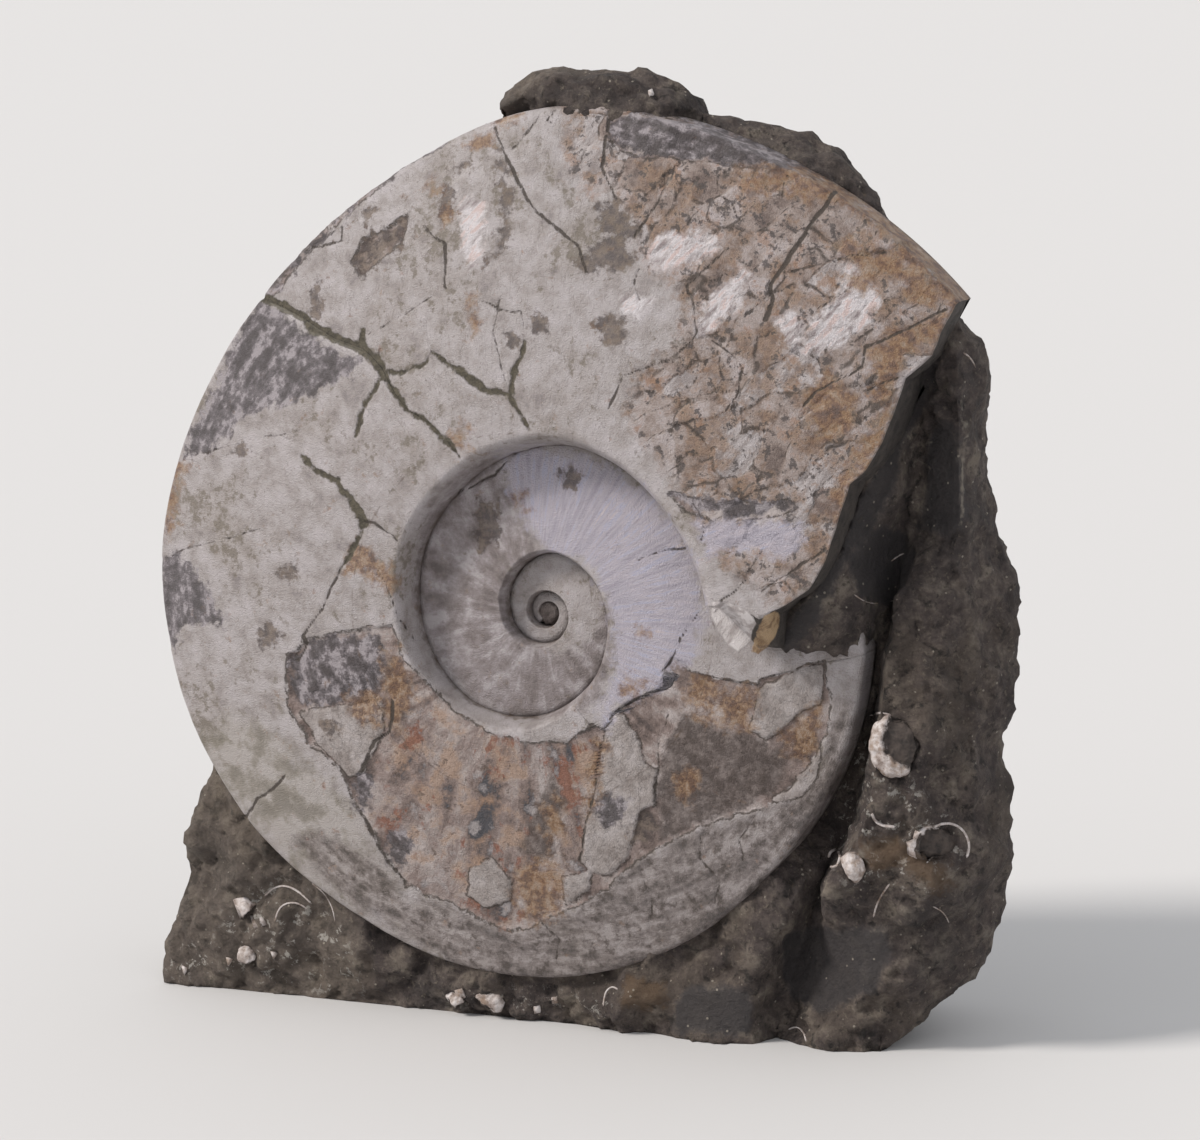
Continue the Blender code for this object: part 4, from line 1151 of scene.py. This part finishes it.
def small_shell_finish():
    """Mother-of-pearl of small shells, bleached: pale and satin, with dark infill."""
    made, tree, shader, _, middle, broad = start_finish(
        "pale nacre of small shells", 0.4, ((4, 6, 0.7), (9, 4, 0.6)))
    colour = node(tree, "ValToRGB", {0: middle}, stops=(
        (0.36, "#776860"), (0.46, "#9F938D"), (0.60, "#C6BFBD")))
    rough = node(tree, "MapRange", {0: middle, 1: 0.2, 2: 0.8, 3: 0.3, 4: 0.6})
    laid = colour.outputs[0], rough.outputs[0], middle
    for layer in (
            ("#7B6552", 0.6, 0, 0.7, (broad, 0.56, 0.64)),
            ((middle, (0.36, "#2A2523"), (0.60, "#4A413C")), 0.85, -0.2, 1,
             (marked(tree, "hollow", middle, 4), 0.5, -0.3))):
        laid = lay_on(tree, laid, *layer)
    dress(tree, shader, laid)
    return made


# The small shells, in pixels: their hollows, where dark stone shows, or for the ones
# marked whole, the outline of all that shows pale.
SMALL_SHELLS = {
    "small_ammonite": ("hollow", ((891, 714), (885, 726), (882, 740), (886, 754),
                                  (897, 765), (914, 772), (950, 790), (950, 700),
                                  (900, 700))),
    "pearl_shell": ("whole", ((838, 857), (850, 849), (865, 855), (867, 874), (858, 888),
                              (846, 880))),
    "curled_shell": ("hollow", ((919, 838), (928, 828), (950, 818), (980, 826),
                                (980, 884), (930, 884), (924, 866), (916, 850))),
    "base_shell_left": ("whole", ((443, 996), (452, 985), (464, 990), (466, 1003),
                                  (454, 1009))),
    "base_shell_right": ("whole", ((470, 992), (484, 986), (499, 990), (507, 1003),
                                   (503, 1013), (493, 1014), (480, 1004))),
    "chip_triangle": ("whole", ((232, 898), (245, 896), (258, 903), (250, 912),
                                (241, 919), (237, 908))),
    "chip_round": ("whole", ((237, 947), (250, 941), (259, 950), (257, 962), (246, 967),
                             (235, 962))),
}
# Thin shells seen edge on in the stone: runs of pixels, and a width in mm.
SHELL_ARCS = (
    (((263, 898), (272, 888), (286, 885), (300, 892), (314, 906)), 0.9),
    (((274, 925), (279, 906), (295, 901), (311, 911)), 0.8),
    (((310, 882), (324, 892), (333, 908), (336, 926)), 0.6),
    (((852, 593), (866, 603), (883, 604), (902, 598)), 0.5),
    (((890, 562), (898, 556), (905, 553)), 0.6),
    (((873, 919), (876, 906), (882, 894), (891, 882)), 0.8),
    (((787, 1030), (797, 1026), (804, 1032), (807, 1044)), 0.7),
    (((603, 1009), (605, 992), (612, 986), (619, 990)), 0.8),
    (((872, 812), (874, 820), (882, 826), (898, 827)), 1.3),
    (((913, 850), (918, 838), (932, 826), (950, 822), (964, 830), (970, 845), (966, 860)), 1.1),
    (((925, 864), (934, 856), (941, 846), (940, 836)), 0.8),
    (((828, 859), (830, 851), (837, 849), (841, 856), (838, 866), (831, 868), (828, 861)), 1.2),
    (((958, 308), (968, 318), (975, 330), (980, 345)), 0.9),
    (((962, 352), (970, 357), (977, 370)), 0.7),
    (((930, 905), (944, 912), (950, 925)), 0.5),
    (((868, 716), (880, 712), (893, 716)), 1.0),
)
SHELL_BITS = (
    ((234, 899), (245, 897), (256, 904), (241, 918)),
    ((251, 915), (262, 917), (267, 925), (255, 928)),
    ((164, 956), (170, 958), (174, 970), (166, 976)),
    ((182, 965), (188, 968), (185, 975)),
    ((227, 957), (233, 959), (229, 966)),
    ((271, 951), (278, 953), (274, 959)),
    ((534, 1006), (540, 1005), (541, 1011), (535, 1012)),
    ((552, 997), (557, 996), (558, 1002), (553, 1003)),
    ((455, 990), (462, 988), (466, 997), (458, 1002)),
    ((906, 842), (916, 838), (922, 848), (918, 858), (910, 856)),
    ((648, 92), (652, 90), (654, 95), (649, 97)),
    ((576, 70), (581, 68), (583, 73), (577, 75)),
)
SHELL_LIFT, BIT_THICKNESS = 0.0009, 0.0022
SHOWS_FRONT = 0.2


def make_small_shell(name, part, outline, finish):
    """A small shell in the stone: the frame's lens, cut finer and hollowed."""
    bm = solid(name)
    for _ in range(3):
        bmesh.ops.subdivide_edges(bm, edges=bm.edges, cuts=1, smooth=1.0,
                                  use_grid_fill=True)
    bmesh.ops.triangulate(bm, faces=bm.faces)
    places, normals = skin(bm)
    depth = read_places(places, {part: {name: outline}}, {})[part]
    if part == "whole":
        depth = -depth
    rough = 0.0014 * chips(places, 0.006, 0.05)[1] - 0.0026 * ease(1.0, -1.0, depth)
    move(bm, places + normals * rough[:, None])
    mark(bm, {"hollow": depth})
    bmesh.ops.recalc_face_normals(bm, faces=bm.faces)
    finished(f"{name}_nacre", bm, "small_shell", finish, name)


def on_stone(pixel):
    """The place and facing of the stone that a pixel of the photograph shows."""
    back, right = Vector(TO_EYE), Vector(TO_RIGHT)
    across = (pixel[0] - IMAGE_WIDTH / 2) / FOCAL_PIXELS
    down = (pixel[1] - IMAGE_HEIGHT / 2) / FOCAL_PIXELS
    eye = TARGET + back * DISTANCE
    place, facing, _, _ = stone_tree.ray_cast(eye, right * across
                                              - back.cross(right) * down - back)
    return place, facing


def make_shell_bits(finish):
    """Thin shell edges and flakes that lie open in the stone."""
    bm = bmesh.new()
    for run, width in SHELL_ARCS:
        corners = np.array(run, float)
        steps = np.arange(0, len(corners) - 0.99, 0.25)
        line = [on_stone([np.mean([np.interp(step + bend, range(len(corners)), side)
                                   for bend in (-0.4, -0.2, 0, 0.2, 0.4)])
                          for side in corners.T]) for step in steps]
        line = [(place, facing) for place, facing in line
                if place and facing.y < -SHOWS_FRONT]
        if len(line) < 3:
            continue
        count = len(line)
        grid = bmesh.ops.create_grid(bm, x_segments=count - 1, y_segments=8, size=1)
        for i, vert in enumerate(grid["verts"]):
            step, turn = i % count, math.radians(45 * (i // count))
            place, facing = line[step]
            along = line[min(step + 1, count - 1)][0] - line[max(step - 1, 0)][0]
            side = along.cross(facing).normalized()
            fade = 0 if step in (0, count - 1) else 1
            reach = width * 0.0005 * fade
            vert.co = (place + side * math.cos(turn) * reach
                       + facing * math.sin(turn) * reach * 1.3)
    for corners in SHELL_BITS:
        line = [on_stone(corner) for corner in corners]
        if not all(place for place, _ in line):
            continue
        facing = sum((each[1] for each in line), Vector()).normalized()
        face = bm.faces.new([bm.verts.new(place + facing * SHELL_LIFT)
                             for place, _ in line])
        sunk = bmesh.ops.extrude_face_region(bm, geom=[face])["geom"]
        verts = [item for item in sunk if isinstance(item, bmesh.types.BMVert)]
        bmesh.ops.translate(bm, verts=verts, vec=-facing * BIT_THICKNESS)
    bmesh.ops.remove_doubles(bm, verts=bm.verts, dist=1e-6)
    bmesh.ops.recalc_face_normals(bm, faces=bm.faces)
    mark(bm, {"hollow": np.full(len(bm.verts), float(REACH))})
    finished("shell_bits", bm, "small_shell", finish)


weathered_shell = shell_finish()
mudstone = stone_finish()
small_nacre = small_shell_finish()

# Each piece of the coil, with the lines where it starts and ends, the width of its
# side in metres, and the foot of its broken end if it has one.
CORE_LINE = ((0, CORE_ANGLE), (1, CORE_ANGLE))
for whorl, first_line, last_line, side_width, *broken_foot in (
        ("inner_whorls", CORE_LINE, SPLIT_READINGS, 0.080),
        ("lower_left_whorl", SPLIT_READINGS, CRACK_READINGS, 0.112),
        ("upper_right_whorl", CRACK_READINGS, BREAK_TOP_READINGS, 0.132, BREAK_READINGS)):
    make_whorl(whorl, first_line, last_line, int(side_width / SPACING), weathered_shell,
               *broken_foot)
make_core(weathered_shell)
stone_tree = make_stone(mudstone)
for shell_name, shell_outline in SMALL_SHELLS.items():
    make_small_shell(shell_name, *shell_outline, small_nacre)
make_shell_bits(small_nacre)


# The floor goes on so far, in metres, that its edge is above the picture.
FLOOR_REACH = 160


def make_stage():
    bm = bmesh.new()
    bmesh.ops.create_grid(bm, x_segments=2, y_segments=2, size=FLOOR_REACH)
    paper, _, shader, _ = start_finish("pale studio paper", 0.8)
    shader.inputs["Base Color"].default_value = linear("#CBCACA")
    add_mesh("floor", bm, paper)


def add_light(name, place, spread, power, colour):
    """Far, soft light that shines from a place towards the block."""
    data = bpy.data.lights.new(name, "SUN")
    data.angle, data.energy = math.radians(spread), power
    data.color = linear(colour)[:3]
    turn = Vector(place).to_track_quat("Z", "Y").to_euler()
    add_object(name, data).rotation_euler = turn


def add_camera():
    back = Vector(TO_EYE)
    data = bpy.data.cameras.new("camera")
    data.sensor_fit, data.sensor_width = "HORIZONTAL", SENSOR
    data.lens = FOCAL_PIXELS * SENSOR / IMAGE_WIDTH
    camera = add_object("camera", data)
    camera.location = TARGET + back * DISTANCE
    camera.rotation_euler = back.to_track_quat("Z", "Y").to_euler()
    bpy.context.scene.camera = camera


make_stage()
add_camera()
add_light("key, upper left", (-0.95, -0.78, 1.0), 14, 2.95, "#FFF9F2")
add_light("fill, right", (0.9, -0.9, 0.4), 50, 0.22, "#EEF3FF")
world = bpy.data.worlds.new("pale room")
world.use_nodes = True
room_light = world.node_tree.nodes["Background"].inputs
room_light["Color"].default_value = linear("#E3E4E6")
room_light["Strength"].default_value = 0.93
bpy.context.scene.world = world
bpy.context.scene.view_settings.view_transform = "Standard"
